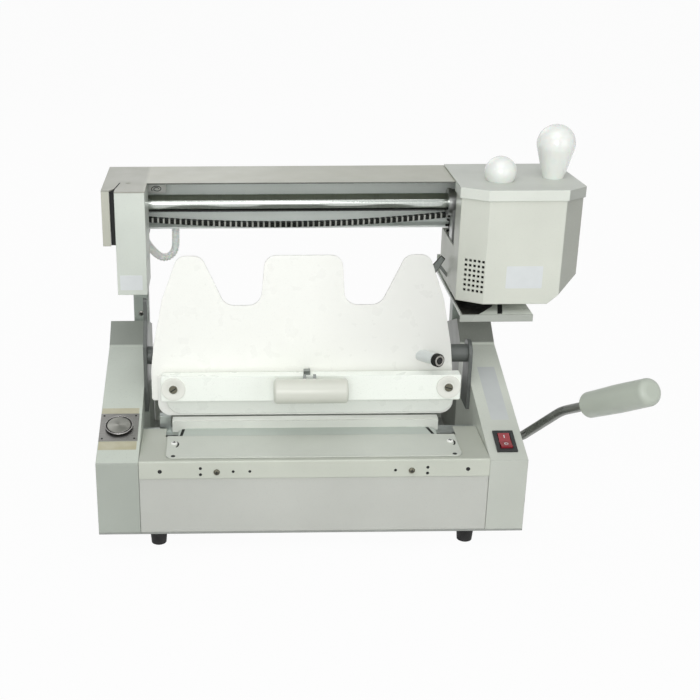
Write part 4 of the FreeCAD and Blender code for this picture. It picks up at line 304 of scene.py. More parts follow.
BODY = srgb(203, 207, 198)
M = {
    "body": paint("body_enamel", BODY),
    # Right housing: slope painted 1.08 lighter than the front, painted light growing from Y 50 to Y
    # 110 against the glue box's shadow, painted shadow on the ridge past Y 192.
    "right": paint("right_enamel", srgb(189, 193, 184), painted_light_zones=(("Y", 0.6, 1.0, 1.08),
                                                              ("Y", 50, 60, 1.22),
                                                              ("Y", 192, 1.5, 0.36))),
    # Left housing: a darker copy of the enamel as painted shade, the slope painted 1.44 lighter than
    # the front, painted shadow of the column on the ridge past Y 192.
    "left": paint("left_enamel", srgb(168, 174, 165), painted_light_zones=(("Y", 0.6, 1.0, 1.44),
                                                            ("Y", 192, 1.5, 0.52))),
    "front": paint("front_enamel", srgb(190, 192, 185)),
    # Painted shade: the table's top is 0.84 as light as its front edge.
    "table": paint("table_enamel", srgb(195, 199, 187), 0.36, painted_light_zones=(("Y", 0.4, 1.0, 0.84),)),
    # Painted shade on the glue box's right wall, past X 274.4.
    "box": paint("box_enamel", srgb(215, 218, 207), painted_light_zones=(("X", 274.4, 0.8, 0.56),)),
    "column": paint("column_enamel", srgb(209, 215, 206)),
    "post": paint("post_enamel", srgb(168, 177, 169), 0.36),
    # Painted light: the tray's top behind the lip is 1.45 lighter, against the glue box's shadow.
    "tray": paint("tray_enamel", srgb(172, 176, 168), 0.3, painted_light_zones=(("Y", 125.0, 0.5, 1.45),)),
    "dim": paint("dim_zinc", srgb(92, 96, 93), 0.45),
    # Painted shade on the beam cover's top past Z 349.2, and painted light on the part right of X
    # -179, so its end over the column stays darker.
    "beam": paint("beam_enamel", srgb(188, 189, 176), painted_light_zones=(("Z", 349.2, 0.4, 0.7),
                                                            ("X", -179, 4, 1.34))),
    "base": paint("base_enamel", srgb(150, 153, 148), 0.5),
    "white": paint("white_enamel", srgb(236, 237, 232), 0.34, 0.6, 0.01),
    # Painted shade: the clamp plate grows darker towards its right end, from X 0 to X 145.
    "plate": paint("clamp_enamel", srgb(246, 247, 241), 0.3, 0.5, 0.006,
                   painted_light_zones=(("X", 0, 145, 0.78),)),
    # Painted light: the top of the jaw bar, past Z 139.2, is 1.21 lighter.
    "bar": paint("bar_enamel", srgb(224, 228, 221), 0.3, 0.5, 0.006,
                 painted_light_zones=(("Z", 139.2, 1.5, 1.21),)),
    # Painted shade: the lid's top is darker than its rim, and its right side is darker below Z
    # 352.6.
    "lid": paint("lid_enamel", srgb(222, 226, 217), painted_light_zones=(("Z", 352.8, 0.3, 0.79), ("X", 275.5, 0.8, 0.55, "Z", 352.6))),
    "egg": plastic("gloss_white", srgb(236, 239, 234), 0.22, 0.6, 0.015, 0.02, 0.12),
    "disc": plastic("disc_white", srgb(227, 228, 220), 0.34, 0.15, 0.02),
    "grip": plastic("grip_cream", srgb(180, 187, 175), 0.36, 0.1, 0.04, 0.12),
    "handle": plastic("handle_cream", srgb(208, 210, 199), 0.34, 0.15, 0.03, 0.1),
    "hose": plastic("hose_white", srgb(248, 250, 245), 0.4, 0.05, 0.02, 0.1, 0.2),
    "black": plastic("black_moulding", srgb(36, 37, 38), 0.42, 0.0, 0.2, 0.25),
    "red": plastic("red_rocker", srgb(146, 46, 54), 0.22, 0.4, 0.08, 0.03),
    "rubber": rubber("foot_rubber", srgb(12, 12, 12)),
    "zinc": steel("zinc_plate", srgb(150, 155, 152), 0.38, (1, 1, 1), 260, 0.08, 0.2),
    # Painted light: the front of the channel's back wall is almost white against the shade under the
    # cover; past Y 260.1 it falls to 0.6 of that.
    "channel": paint("channel_enamel", srgb(246, 252, 248), 0.34, painted_light_zones=(("Y", 260.1, 0.3, 0.6),)),
    # Painted light: the top of the rear nip jaw, past Y 83.7, is 1.5 lighter than its front.
    "rear": paint("rear_enamel", srgb(222, 225, 217), 0.34, 0.6, painted_light_zones=(("Y", 83.7, 0.5, 1.5),)),
    "shelf": steel("zinc_shelf", srgb(176, 182, 178), 0.42, (1, 8, 1), 120, 0.06, 0.12),
    "arm": steel("zinc_arm", srgb(170, 176, 172), 0.36, (1, 1, 6), 160, 0.08, 0.12),
    "shaft": steel("ground_shaft", srgb(214, 214, 212), 0.13, (60, 1, 1), 26, 0.05, 0.05, 0),
    # Painted reflection: the guide shaft is dark below Z 314.6 and ten times lighter above it.
    "guide": steel("guide_shaft", srgb(66, 68, 66), 0.13, (60, 1, 1), 26, 0.05, 0.05, 0,
                   painted_light_zones=(("Z", 314.6, 0.8, 10.0),)),
    "screw": steel("screw_steel", srgb(176, 174, 168), 0.26, (1, 1, 1), 500, 0.1, 0.15, 0.0003),
    "rod": steel("lever_steel", srgb(148, 150, 146), 0.3, (1, 1, 1), 120, 0.14, 0.3, 0),
    "chain": links("chain_steel", srgb(44, 46, 44), srgb(186, 188, 182)),
    "worn": steel("worn_screw", srgb(122, 120, 106), 0.4, (1, 1, 1), 500, 0.1, 0.25, 0.0003),
    "dark": steel("blackened_steel", srgb(48, 48, 46), 0.36, (1, 1, 1), 300, 0.2, 0.3),
    "bronze": steel("bush_bronze", srgb(170, 146, 96), 0.34, (1, 1, 1), 300, 0.1, 0.2),
    "alloy": steel("cast_alloy", srgb(196, 198, 196), 0.4, (1, 1, 1), 240, 0.12, 0.1),
    "dialplate": steel("dial_alloy", srgb(150, 149, 146), 0.34, (1, 40, 1), 60, 0.1, 0.15, 0.0003),
    "dialtop": turned("dial_turned", srgb(150, 150, 144)),
    "rim": steel("dial_rim", srgb(176, 174, 172), 0.24, (1, 1, 1), 300, 0.03, 0.06, 0.0003),
    "bed": paint("bed_enamel", srgb(194, 202, 195), 0.4),
    "roller": steel("roller_steel", srgb(120, 118, 112), 0.34, (1, 30, 1), 60, 0.1, 0.25),
    "pot": steel("pot_steel", srgb(58, 56, 52), 0.42, (1, 1, 1), 160, 0.2, 0.4),
    # Flat dark for seams and gaps, and painted shade inside holes, slots and recesses.
    "inside": plastic("hole_dark", srgb(20, 21, 21), 0.7, 0.0, 0.3, 0.3),
    "tape": tape("yellow_tape"),
    "label": sticker("label_film", srgb(220, 224, 224)),
    "label_grey": sticker("label_grey", srgb(200, 204, 203)),
    "sleeve": plastic("sleeve_white", srgb(206, 211, 209), 0.3, 0.2, 0.06, 0.1),
    # Painted shadow under the front edge of the beam cover.
    "edge": plastic("cover_shadow_strip", srgb(96, 99, 94), 0.6, 0.0, 0.1, 0.2),
    "brass": steel("pin_brass", srgb(178, 150, 92), 0.28, (1, 1, 1), 300, 0.1, 0.15),
}

NODE_LOOKS = {
    "base_plate": "base", "rubber_feet": "rubber", "left_housing": "left",
    "right_housing": "right", "dial_plate": "dialplate", "thermostat_body": "black",
    "thermostat_knob": "dialtop", "switch_bezel": "black", "rocker_switch": "red",
    "power_inlet": "black", "front_panel": "front", "table_top": "table", "rear_panel": "body",
    "press_bed": "bed", "rear_nip_jaw": "rear", "nip_brackets": "shelf",
    "front_nip_plate": "body", "nip_slide_arms": "arm", "lever_shaft": "shaft",
    "lever_bushes": "bronze", "lever_cranks": "zinc", "lever_rod": "rod", "lever_grip": "grip",
    "clamp_plate": "plate", "rear_jaw": "white", "clamp_arms": "white",
    "clamp_pivot_shafts": "dim", "pivot_blocks": "dim", "jaw_rod_bushes": "bronze",
    "lock_screw_sleeve": "sleeve", "jaw_bar": "bar", "jaw_guide_rods": "shaft",
    "handle_bracket": "zinc", "cam_lever": "zinc", "handle_grip": "handle", "left_post": "post",
    "right_post": "post", "column_cover": "column", "beam_channel": "channel", "beam_cover": "beam",
    "guide_shaft": "guide", "shaft_blocks": "alloy", "drive_chain": "chain",
    "chain_anchors": "dark", "hose_glands": "zinc", "glue_box": "box", "glue_box_lid": "lid",
    "lid_ball_knob": "egg", "lid_egg_knob": "egg", "carriage_bearing": "alloy",
    "glue_pot": "pot", "glue_roller": "roller", "chain_wheel": "dark", "drip_tray": "tray",
    "lock_screw_head": "dark", "jaw_discs": "disc", "nip_plate_screws": "screw",
    "frame_screws": "screw", "heater_hose": "hose",
}


def dress_nodes():
    """Give every node of the frame its material."""
    for name, look in NODE_LOOKS.items():
        piece = NODES[name]
        for slot in piece.material_slots:
            slot.material = M[look]
        if not piece.material_slots:
            piece.data.materials.append(M[look])


def add(name, mesh, pose, look, body, smooth=40):
    """Turn a mesh of the drawing into a named piece that rides on a body."""
    bmesh.ops.recalc_face_normals(mesh, faces=mesh.faces)
    data = bpy.data.meshes.new(name)
    mesh.to_mesh(data)
    mesh.free()
    data.transform(PLACE @ pose)
    data.materials.append(M[look])
    piece = bpy.data.objects.new(name, data)
    bpy.context.scene.collection.objects.link(piece)
    for polygon in data.polygons:
        polygon.use_smooth = True
    data.set_sharp_from_angle(angle=math.radians(smooth))
    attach(piece, body)
    return piece


def lathe(profile, segments=40, mesh=None, pose=Matrix()):
    """A surface turned about Z from pairs of radius and height."""
    mesh = mesh or bmesh.new()
    rings = []
    for radius, height in profile:
        steps = segments if radius > 1e-6 else 1
        angles = [2 * math.pi * number / steps for number in range(steps)]
        rings.append([
            mesh.verts.new(pose @ Vector((radius * math.cos(a), radius * math.sin(a), height)))
            for a in angles
        ])
    for lower, upper in zip(rings, rings[1:]):
        for number in range(segments):
            following = (number + 1) % segments
            corners = [lower[number % len(lower)], lower[following % len(lower)],
                       upper[following % len(upper)], upper[number % len(upper)]]
            corners = list(dict.fromkeys(corners))
            if len(corners) > 2:
                mesh.faces.new(corners)
    return mesh


def slab(outline, thickness, edge=0.2, mesh=None, pose=Matrix()):
    """A flat piece with softened edges, from an outline in the XY plane."""
    piece = bmesh.new()
    low = [piece.verts.new((x, y, 0)) for x, y in outline]
    high = [piece.verts.new((x, y, thickness)) for x, y in outline]
    piece.faces.new(low[::-1])
    piece.faces.new(high)
    count = len(outline)
    for number in range(count):
        following = (number + 1) % count
        piece.faces.new((low[number], low[following], high[following], high[number]))
    if edge:
        bmesh.ops.bevel(piece, geom=piece.edges[:], offset=edge, segments=2, affect="EDGES",
                        clamp_overlap=True)
    bmesh.ops.transform(piece, matrix=pose, verts=piece.verts)
    if mesh is None:
        return piece
    data = bpy.data.meshes.new("part")
    piece.to_mesh(data)
    piece.free()
    mesh.from_mesh(data)
    bpy.data.meshes.remove(data)
    return mesh


def rounded(width, height, radius, steps=5):
    """Outline of a rectangle with round corners, about zero."""
    points = []
    for number, (sx, sy) in enumerate(((1, 1), (-1, 1), (-1, -1), (1, -1))):
        for step in range(steps + 1):
            angle = math.pi / 2 * (number + step / steps)
            points.append((sx * (width / 2 - radius) + radius * math.cos(angle),
                           sy * (height / 2 - radius) + radius * math.sin(angle)))
    return points


def sweep(points, radius, mesh=None, segments=12, caps=True):
    """A round bar or a ribbed tube along points; radius is one number or one for each point."""
    mesh = mesh or bmesh.new()
    points = [Vector(point) for point in points]
    radii = radius if isinstance(radius, list) else [radius] * len(points)
    side = None
    rings = []
    for number, point in enumerate(points):
        before = points[max(number - 1, 0)]
        after = points[min(number + 1, len(points) - 1)]
        ahead = (after - before).normalized()
        if side is None:
            side = ahead.orthogonal().normalized()
        side = (side - ahead * side.dot(ahead)).normalized()
        up = ahead.cross(side)
        rings.append([
            mesh.verts.new(point + (side * math.cos(a) + up * math.sin(a)) * radii[number])
            for a in (2 * math.pi * step / segments for step in range(segments))
        ])
    for lower, upper in zip(rings, rings[1:]):
        for number in range(segments):
            following = (number + 1) % segments
            mesh.faces.new((lower[number], lower[following], upper[following], upper[number]))
    if caps:
        mesh.faces.new(rings[0][::-1])
        mesh.faces.new(rings[-1])
    return mesh


def facing(point, direction):
    """Pose whose Z looks along a direction from a point."""
    turn = Vector(direction).to_track_quat("Z", "Y").to_matrix().to_4x4()
    return Matrix.Translation(point) @ turn


def on_front(x, y, z):
    """Pose on an upright face that looks to the front."""
    return facing((x, y, z), (0, -1, 0))


def on_slope(x, along, lift=0.0):
    """Pose on the sloping top of a housing."""
    y = along * math.cos(SLOPE) - lift * math.sin(SLOPE)
    z = FOLD_HEIGHT + along * math.sin(SLOPE) + lift * math.cos(SLOPE)
    return Matrix.Translation((x, y, z)) @ Matrix.Rotation(SLOPE, 4, "X")


def dome(radius, height, groove=0.35):
    """Outline of a pan head from its rim to its middle."""
    points = [(0, 0), (radius, 0)]
    for step in range(7):
        angle = math.radians(15 + 75 * step / 6)
        points.append((radius * math.cos(angle) ** groove if step < 6 else 0,
                       height * math.sin(angle)))
    return points


def cross_head(name, pose, radius, height, look, body):
    """Pan-head screw with a cross recess in it, drawn as a flat dark cross of painted shade."""
    mesh = lathe(dome(radius, height), 28, pose=Matrix())
    piece = add(name, mesh, pose, look, body, 50)
    arm = radius * 0.58
    wide = radius * 0.15
    cross = [(arm, wide), (wide, wide), (wide, arm), (-wide, arm), (-wide, wide), (-arm, wide),
             (-arm, -wide), (-wide, -wide), (-wide, -arm), (wide, -arm), (wide, -wide),
             (arm, -wide)]
    lift = Matrix.Translation((0, 0, height * 0.93))
    # Painted shade in the cross recess.
    add(name + "_cross", slab(cross, height * 0.1, 0), pose @ lift, "inside", body)
    return piece


def make_hose():
    """Ribbed white hose between the beam and the left upright."""
    curve = bpy.data.curves.new("hose_line", "CURVE")
    curve.dimensions = "3D"
    spline = curve.splines.new("NURBS")
    spline.points.add(len(HOSE_ROUTE) - 1)
    for point, place in zip(spline.points, HOSE_ROUTE):
        point.co = (*metres(*place), 1)
    spline.order_u = 3
    spline.use_endpoint_u = True
    spline.resolution_u = 40
    line = bpy.data.objects.new("hose_line", curve)
    read = bpy.data.meshes.new_from_object(line)
    path = [vertex.co.copy() for vertex in read.vertices]
    bpy.data.objects.remove(line)
    bpy.data.meshes.remove(read)
    reach = [0.0]
    for first, last in zip(path, path[1:]):
        reach.append(reach[-1] + (last - first).length)
    length = reach[-1]

    def at(distance):
        for number in range(1, len(path)):
            if distance <= reach[number]:
                part = (distance - reach[number - 1]) / (reach[number] - reach[number - 1])
                return path[number - 1].lerp(path[number], part)
        return path[-1]

    pitch = 0.0029
    root, crest = 0.0038, 0.00465
    plain = 0.003
    profile = ((0.0, root), (0.16, root), (0.3, crest * 0.985), (0.42, crest), (0.58, crest),
               (0.7, crest * 0.985), (0.84, root))
    stations = [(0.0, root)]
    ribs = int((length - 2 * plain) / pitch)
    start = (length - ribs * pitch) / 2
    for rib in range(ribs):
        for part, radius in profile:
            stations.append((start + (rib + part) * pitch, radius))
    stations.append((length, root))
    points = [at(distance) for distance, radius in stations]
    mesh = sweep(points, [radius for distance, radius in stations], segments=28)
    piece = add("hose_tube", mesh, PLACE.inverted(), "hose", "frame", 60)
    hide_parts("heater_hose")


def block(name, low, high, look, body, edge=0.2):
    """A box between two corners of the drawing."""
    wide, deep = high[0] - low[0], high[1] - low[1]
    outline = [(0, 0), (wide, 0), (wide, deep), (0, deep)]
    return add(name, slab(outline, high[2] - low[2], edge), Matrix.Translation(low), look, body)


def make_glands():
    """Sleeves for the two ends of the hose, under the beam and in front of the upright."""
    sleeve = [(4.9, -0.1), (6.0, 0.2), (6.0, 4.4), (6.9, 4.6), (6.9, 7.0), (4.9, 7.0), (4.9, -0.1)]
    x, y, z = HOSE_ROUTE[0]
    upper = add("gland_beam", lathe(sleeve, 40), Matrix.Translation((x, y, z)), "white", "frame")
    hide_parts("hose_glands")
    block("gland_bracket", (x - 7.5, 260.5, z + 7.0), (x + 7.5, y + 7.5, z + 9.0), "channel",
          "frame")
    post_front = 260.5
    collar = [(4.8, -0.1), (5.5, 0.2), (5.5, 7.0), (4.8, 7.0), (4.8, -0.1)]
    x, y, z = HOSE_ROUTE[-1]
    add("gland_post", lathe(collar, 40), Matrix.Translation((x, y, z - 1.0)), "white", "frame")
    block("gland_post_bracket", (x - 7.5, y - 6.5, z + 6.0), (x + 7.5, post_front, z + 8.0), "zinc",
          "frame")


def make_linings():
    """Dark gaps, a painted shadow strip under the beam cover's front edge, and the small clips of
    the column and the beam.
    """
    block("flap_slot", (-214.7, 152.2, 289.5), (-209.1, 153.0, 349.3), "inside", "frame",
          0)
    wedge = [(-215.0, 149.6), (-208.8, 149.6), (-208.8, 160.5), (-212.0, 160.5)]
    add("flap_floor", slab(wedge, 0.3, 0), Matrix.Translation((0, 0, 349.0)), "inside", "frame")
    seam = [(-210.4, 153.5), (-209.0, 153.5), (-204.9, 184.0), (-206.3, 184.0)]
    add("cover_seam", slab(seam, 0.1, 0), Matrix.Translation((0, 0, 351.0)), "inside", "frame")
    # Painted shadow: a dark strip under the front edge of the beam cover.
    block("cover_edge_shadow", (-175.8, 181.2, 349.5), (279.8, 181.95, 350.8), "edge", "frame",
          0)
    clip = on_front(-168.6, 241.9, 330.6)
    add("beam_clip", slab(rounded(21.0, 9.6, 2.4), 5.0, 0.8), clip, "white", "frame")
    coil = []
    for step in range(45):
        angle = step / 44 * 3.2 * math.pi
        reach = 1.2 + 0.8 * angle / math.pi
        coil.append((reach * 1.7 * math.cos(angle), reach * math.sin(angle), 5.05))
    add("beam_clip_coil", sweep(coil, 0.42, segments=8), clip, "dark", "frame")
    add("cover_dimple", lathe([(0, 0.05), (1.0, 0.3), (2.3, 0.55), (2.9, 0.1), (3.0, 0)], 28),
        Matrix.Translation((-196.7, 183.2, 351.0)), "beam", "frame")


def make_box_details():
    """Bush flange and tab on the left wall of the glue box, with a painted shadow behind the tab."""
    flange = [(10.3, 0), (12.8, 0), (12.8, 1.2), (12.4, 1.6), (10.7, 1.6), (10.3, 1.2),
              (10.3, 0)]
    add("bush_flange", lathe(flange, 48), facing((164.3, 215.0, 319.5), (-1, 0, 0)), "alloy",
        "carriage")
    outline = [(146.7, 245.2), (156.9, 257.0), (160.4, 253.7), (151.9, 238.1)]
    tab = slab([(x, -z) for x, z in outline], 1.2, 0.2)
    level = Matrix.Rotation(math.radians(-90), 4, "X")
    add("box_tab", tab, Matrix.Translation((0, 207.0, 0)) @ level, "zinc", "carriage")
    # Painted shadow: a dark outline a little larger than the tab, just behind it.
    shade = [(145.9, 245.2), (156.9, 258.1), (161.6, 253.8), (151.7, 236.7)]
    add("box_tab_shadow", slab([(x, -z) for x, z in shade], 0.8, 0.2),
        Matrix.Translation((0, 208.3, 0)) @ level, "dark", "carriage")
    arm = [(153.8, 244.7), (156.1, 247.7), (164.3, 237.0), (164.3, 231.5)]
    add("box_tab_arm", slab([(x, -z) for x, z in arm], 1.0, 0.2),
        Matrix.Translation((0, 209.2, 0)) @ level, "zinc", "carriage")


def make_tray_details():
    """Dark sheet under the slot of the drip tray, painted shade seen through the slot, and a dark
    sheet on the tray under the glue box.
    """
    # Painted shade seen through the tray's slot.
    slot_shade = [(204.5, 126.0), (216.0, 126.0), (223.5, 169.0), (212.0, 169.0)]
    add("tray_slot_shade", slab(slot_shade, 1.0, 0.1), Matrix.Translation((0, 0, 212.6)), "inside",
        "frame")
    # A dark sheet on the tray under the left front of the glue box.
    dark_sheet = [(168.2, 125.4), (186.5, 125.4), (207.0, 152.0), (207.0, 200.0), (168.2, 200.0)]
    add("tray_dark_sheet", slab(dark_sheet, 0.8, 0.2), Matrix.Translation((0, 0, 216.05)), "pot", "frame")


def crescent(inner, outer, thick):
    """Flat sickle of painted shadow to the right of a screw head."""
    points = []
    for step in range(9):
        angle = math.radians(-62 + 124 * step / 8)
        points.append((outer * math.cos(angle), outer * 1.5 * math.sin(angle)))
    for step in range(9):
        angle = math.radians(62 - 124 * step / 8)
        points.append((inner * math.cos(angle), inner * 1.9 * math.sin(angle)))
    return slab(points, thick, 0)


def bed_slot(side):
    """Outline of the curved slot at one end of the press bed."""
    middle = []
    for step in range(9):
        part = step / 8
        middle.append((-141.2 + 3.4 * part ** 0.7 if side < 0 else 128.6 + 5.2 * (1 - part),
                       60.5 + 21.0 * part))
    left = [(x - 1.6, y) for x, y in middle]
    right = [(x + 1.6, y) for x, y in reversed(middle)]
    return right + left


def make_screws():
    """Screws and holes of the front strip, the post and the nip plate, with painted shade in the
    holes and the bed's slots and a painted shadow beside each nip-plate screw.
    """
    strip = []
    for x, z in ((-101.2, 91.0), (100.8, 91.0)):
        strip.append(cross_head("strip_screw_%d" % len(strip), on_front(x, -1.0, z), 3.3, 2.0,
                                "worn", "frame"))
    strip.append(cross_head("post_screw", on_front(-193.0, 260.5, 171.4), 3.3, 2.0, "screw",
                            "frame"))
    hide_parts("frame_screws")
    holes = ((-160.0, 92.0, 2.0), (-118.0, 95.4, 1.5), (-118.0, 88.3, 1.5), (-84.2, 91.5, 1.4),
             (-67.0, 91.5, 1.4), (83.9, 91.5, 1.4), (117.3, 94.5, 1.5), (117.3, 87.8, 1.5),
             (159.2, 92.0, 2.0))
    mesh = bmesh.new()
    rim = bmesh.new()
    for x, z, radius in holes:
        pose = on_front(x, -1.0, z)
        lathe([(0, 0.06), (radius * 0.8, 0.06)], 24, mesh, pose)
        lathe([(radius * 0.78, 0.0), (radius * 0.8, 0.1), (radius * 0.95, 0.16),
               (radius * 1.12, 0.0)], 24, rim, pose)
    # Painted shade: flat dark discs inside the holes of the strip.
    add("strip_holes", mesh, Matrix(), "inside", "frame")
    add("strip_hole_rims", rim, Matrix(), "dark", "frame")
    for number, side in enumerate((-1, 1)):
        top = 105.2
        x = side * 146.3
        head = cross_head("nip_screw_%d" % number, facing((x, 38.0, top), (0, 0, 1)), 3.6, 1.6,
                          "white", "nip")
        if number == 0:
            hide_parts("nip_plate_screws")
        ring = lathe([(1.9, 0.0), (2.15, 0.2), (2.4, 0.0)], 28)
        add("nip_hole_rim_%d" % number, ring, facing((x, 8.4, top), (0, 0, 1)), "dark", "nip")
        # Painted shade inside the hole.
        bore = lathe([(0, 0.08), (2.0, 0.08)], 28)
        add("nip_hole_%d" % number, bore, facing((x, 8.4, top), (0, 0, 1)), "inside", "nip")
        # Painted shadow of the screw head, a dark sickle to its right.
        add("nip_slot_%d" % number, crescent(3.5, 5.4, 0.1), Matrix.Translation((x, 35.5, top)),
            "dark", "nip")
        # Painted shade inside the curved slot of the bed.
        curve = slab(bed_slot(side), 0.1, 0)
        add("bed_slot_%d" % number, curve, Matrix.Translation((0, 0, 101.0)), "inside", "frame")


def make_labels():
    """Bare label plates where the machine carries its stickers."""
    column = on_front(-193.8, 144.0, 249.0)
    add("column_label", slab(rounded(24.4, 17.0, 0.8), 0.15, 0.05), column, "label",
        "frame")
    box_front = on_front(235.2, 134.0, 255.6)
    add("box_label", slab(rounded(39.8, 25.4, 1.2), 0.15, 0.05), box_front, "label", "carriage")
    slope = on_slope(203.9, 109.8)
    add("slope_label", slab(rounded(19.4, 91.6, 1.0), 0.12, 0.04), slope, "label_grey", "frame")


def make_dial():
    """Ring, rivets and tape round the thermostat knob."""
    dial = on_slope(-205.3, 56.75, 0.8)
    for number, (x, y) in enumerate(((-17, -18.3), (17, -18.3), (-17, 18.3), (17, 18.3))):
        add("dial_rivet_%d" % number, lathe(dome(1.1, 0.5), 18),
            dial @ Matrix.Translation((x, y, 0)), "dark", "frame")
    for name, along, deep in (("low", 28.0, 13.0), ("high", 83.5, 9.6)):
        outline = []
        for x, y in rounded(40.0, deep, 0.4):
            outline.append((x + 0.15 * math.sin(y * 3.1), y + 0.2 * math.sin(x * 1.3)))
        add("dial_tape_" + name, slab(outline, 0.12, 0.03), on_slope(-205.3, along), "tape",
            "frame")
    knob = on_slope(-205.3, 56.75)
    # The drum is blackened, so its ring between the rim and the top shows as the painted shade of
    # the groove.
    drum = lathe([(0, 1.12), (14.5, 1.12), (14.7, 1.4), (14.7, 3.3), (12.5, 3.3), (0, 3.35)], 72)
    body = add("dial_drum", drum, knob, "dark", "dial")
    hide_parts("thermostat_knob")
    rim = lathe([(13.75, 3.3), (13.75, 3.8), (13.95, 4.05), (14.4, 4.1), (14.75, 3.85), (14.8, 3.3)],
                72)
    add("dial_rim", rim, knob, "rim", "dial")
    top = lathe([(12.5, 3.3), (12.5, 3.85), (12.3, 4.05), (12.0, 4.1), (0, 4.1)], 72)
    add("dial_top", top, knob, "dialtop", "dial")


def make_switch():
    """Marks on the two halves of the rocker."""
    ring = lathe([(1.5, 0.0), (1.5, 0.12), (2.1, 0.12), (2.1, 0.0)], 28)
    middle = 28.5
    add("rocker_off_mark", ring, on_slope(202.2, middle - 6.2, 3.15) @ Matrix.Rotation(
        math.radians(-12.3), 4, "X"), "label", "rocker")
    bar = slab(rounded(0.9, 4.2, 0.2), 0.12, 0)
    add("rocker_on_mark", bar, on_slope(202.2, middle + 6.2, 2.15) @ Matrix.Rotation(
        math.radians(5.5), 4, "X"), "label", "rocker")


def make_discs():
    """Round end discs of the sliding jaw, each with a slotted screw whose slot is painted shade."""
    front = 88.0 - 5.5 - 0.3 - 12.2
    for number, side in enumerate((-1, 1)):
        pose = on_front(side * 147.3, front, 154.0)
        profile = [(12.6, 0.0), (13.0, 0.3), (13.0, 1.2), (12.7, 1.5), (6.6, 1.55), (6.2, 1.25),
                   (5.6, 1.25), (5.4, 1.5), (0, 1.5)]
        add("jaw_disc_%d" % number, lathe(profile, 64), pose, "disc", "jaw")
        head = pose @ Matrix.Translation((0, 0, 1.5))
        add("disc_screw_%d" % number, lathe([(4.5, 0), (4.5, 1.3), (4.0, 2.0), (0, 2.1)], 32),
            head, "worn", "jaw")
        turn = Matrix.Rotation(math.radians(35 - 50 * number), 4, "Z")
        # Painted shade in the screw's slot.
        slot = slab(rounded(7.4, 1.1, 0.2), 0.1, 0)
        add("disc_screw_slot_%d" % number, slot, head @ Matrix.Translation((0, 0, 2.06)) @ turn,
            "inside", "jaw")
    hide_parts("jaw_discs")


def make_lock_head():
    """Knurled head of the lock screw, with a hexagon socket drawn as a flat dark hexagon of painted
    shade.
    """
    turn = Matrix.Rotation(math.radians(30), 4, "Z")
    lift = Matrix.Rotation(math.radians(83), 4, "X")
    pose = Matrix.Translation((120.5, 88.0, 183.4)) @ turn @ lift
    start, end = 22.0, 29.0
    mesh = bmesh.new()
    teeth = 36
    rings = []
    for height, outer in ((start, 6.5), (start + 0.6, 7.15), (end - 0.8, 7.15), (end, 6.4)):
        ring = []
        for step in range(teeth * 2):
            radius = outer - (0.45 if step % 2 else 0.0)
            angle = math.pi * step / teeth
            ring.append(mesh.verts.new((radius * math.cos(angle), radius * math.sin(angle),
                                        height)))
        rings.append(ring)
    for lower, upper in zip(rings, rings[1:]):
        for step in range(teeth * 2):
            following = (step + 1) % (teeth * 2)
            mesh.faces.new((lower[step], lower[following], upper[following], upper[step]))
    mesh.faces.new(rings[0][::-1])
    mesh.faces.new(rings[-1])
    head = add("lock_knurl", mesh, pose, "dark", "lock_screw", 25)
    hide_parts("lock_screw_head")
    hexagon = [(3.3 * math.cos(math.pi * step / 3), 3.3 * math.sin(math.pi * step / 3))
               for step in range(6)]
    # Painted shade inside the hexagon socket.
    add("lock_socket", slab(hexagon, 0.08, 0), pose @ Matrix.Translation((0, 0, end)), "inside",
        "lock_screw")
    face = lathe([(3.9, 0.02), (4.1, 0.12), (5.6, 0.12), (5.8, 0.02)], 40)
    add("lock_rim", face, pose @ Matrix.Translation((0, 0, end)), "screw", "lock_screw")


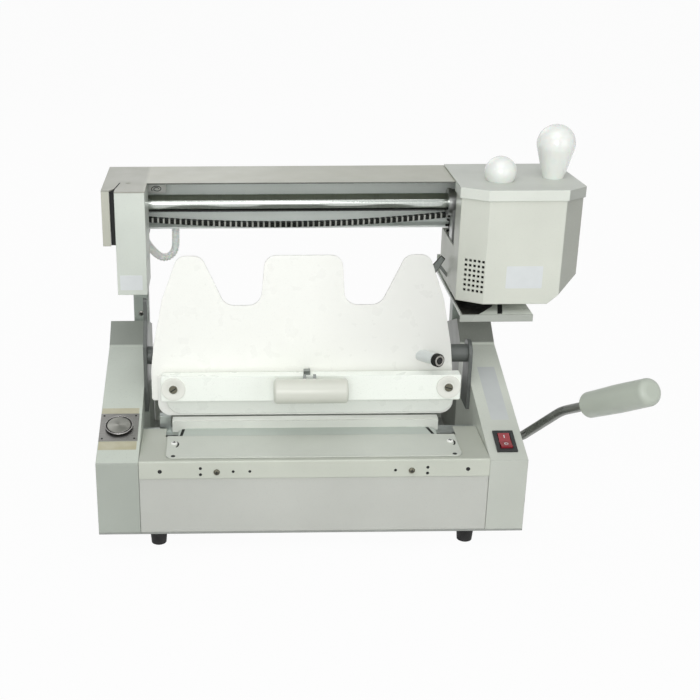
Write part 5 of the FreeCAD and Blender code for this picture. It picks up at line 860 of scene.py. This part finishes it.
def make_stage():
    """Pale floor, soft lamps and a white world."""
    mesh = bmesh.new()
    corners = [mesh.verts.new((x, y, 0)) for x, y in ((-6, -6), (6, -6), (6, 6), (-6, 6))]
    mesh.faces.new(corners)
    data = bpy.data.meshes.new("floor")
    mesh.to_mesh(data)
    mesh.free()
    floor = bpy.data.objects.new("floor", data)
    bpy.context.scene.collection.objects.link(floor)
    s = Shader("floor_pale")
    s.colour(s.mix(s.spread(s.noise(3, 2), 0, 1), (0.6, 0.6, 0.598), (0.63, 0.63, 0.628)))
    s.set(Roughness=0.9, Specular_IOR_Level=0.1)
    glow = s.new("ShaderNodeEmission")
    glow.inputs["Strength"].default_value = 1.0
    rays = s.new("ShaderNodeLightPath")
    seen = s.new("ShaderNodeMath", operation="MAXIMUM")
    s.link(rays.outputs["Is Camera Ray"], seen.inputs[0])
    s.link(rays.outputs["Is Glossy Ray"], seen.inputs[1])
    also = s.new("ShaderNodeMath", operation="MAXIMUM")
    s.link(seen.outputs[0], also.inputs[0])
    s.link(rays.outputs["Is Transmission Ray"], also.inputs[1])
    share = s.new("ShaderNodeMath", operation="MULTIPLY")
    s.link(also.outputs[0], share.inputs[0])
    share.inputs[1].default_value = 0.96
    blend = s.new("ShaderNodeMixShader")
    s.link(share.outputs[0], blend.inputs["Fac"])
    s.link(s.bsdf.outputs["BSDF"], blend.inputs[1])
    s.link(glow.outputs["Emission"], blend.inputs[2])
    s.link(blend.outputs["Shader"], s.tree.nodes["Material Output"].inputs["Surface"])
    data.materials.append(s.material)
    world = bpy.data.worlds.new("studio")
    world.use_nodes = True
    tree = world.node_tree
    ambient = tree.nodes["Background"]
    ambient.inputs["Color"].default_value = (0.97, 0.985, 1.0, 1)
    ambient.inputs["Strength"].default_value = 0.36
    white = tree.nodes.new("ShaderNodeBackground")
    white.inputs["Color"].default_value = (1, 1, 1, 1)
    white.inputs["Strength"].default_value = 1.0
    path = tree.nodes.new("ShaderNodeLightPath")
    most = tree.nodes.new("ShaderNodeMath")
    most.operation = "MAXIMUM"
    tree.links.new(path.outputs["Is Camera Ray"], most.inputs[0])
    tree.links.new(path.outputs["Is Transmission Ray"], most.inputs[1])
    both = tree.nodes.new("ShaderNodeMath")
    both.operation = "MULTIPLY_ADD"
    tree.links.new(path.outputs["Is Glossy Ray"], both.inputs[0])
    both.inputs[1].default_value = 0.68
    tree.links.new(most.outputs[0], both.inputs[2])
    blend = tree.nodes.new("ShaderNodeMixShader")
    tree.links.new(both.outputs[0], blend.inputs["Fac"])
    tree.links.new(ambient.outputs["Background"], blend.inputs[1])
    tree.links.new(white.outputs["Background"], blend.inputs[2])
    tree.links.new(blend.outputs["Shader"], tree.nodes["World Output"].inputs["Surface"])
    bpy.context.scene.world = world
    lamps = (
        ("key", (-0.9, -2.3, 1.15), 1.3, 10),
        ("brow", (-0.2, -2.2, 1.0), 0.7, 13),
        ("low", (0.0, -2.5, 0.5), 1.0, 2),
        ("fill", (1.5, -1.9, 0.8), 1.4, 9),
        ("top", (-0.2, -0.8, 2.1), 1.7, 14),
        ("back", (-0.6, 1.8, 1.4), 1.4, 6),
    )
    for name, place, size, power in lamps:
        data = bpy.data.lights.new(name, "AREA")
        data.shape = "SQUARE"
        data.size = size
        data.energy = power
        lamp = bpy.data.objects.new(name, data)
        aim = Vector((0, 0, 0.18)) - Vector(place)
        turn = aim.to_track_quat("-Z", "Y").to_matrix().to_4x4()
        lamp.matrix_world = Matrix.Translation(place) @ turn
        bpy.context.scene.collection.objects.link(lamp)
    bpy.context.scene.view_settings.view_transform = "Standard"


make_camera()
make_hose()
dress_nodes()
make_glands()
make_linings()
make_box_details()
make_tray_details()
make_screws()
make_labels()
make_dial()
make_switch()
make_discs()
make_lock_head()
make_stage()
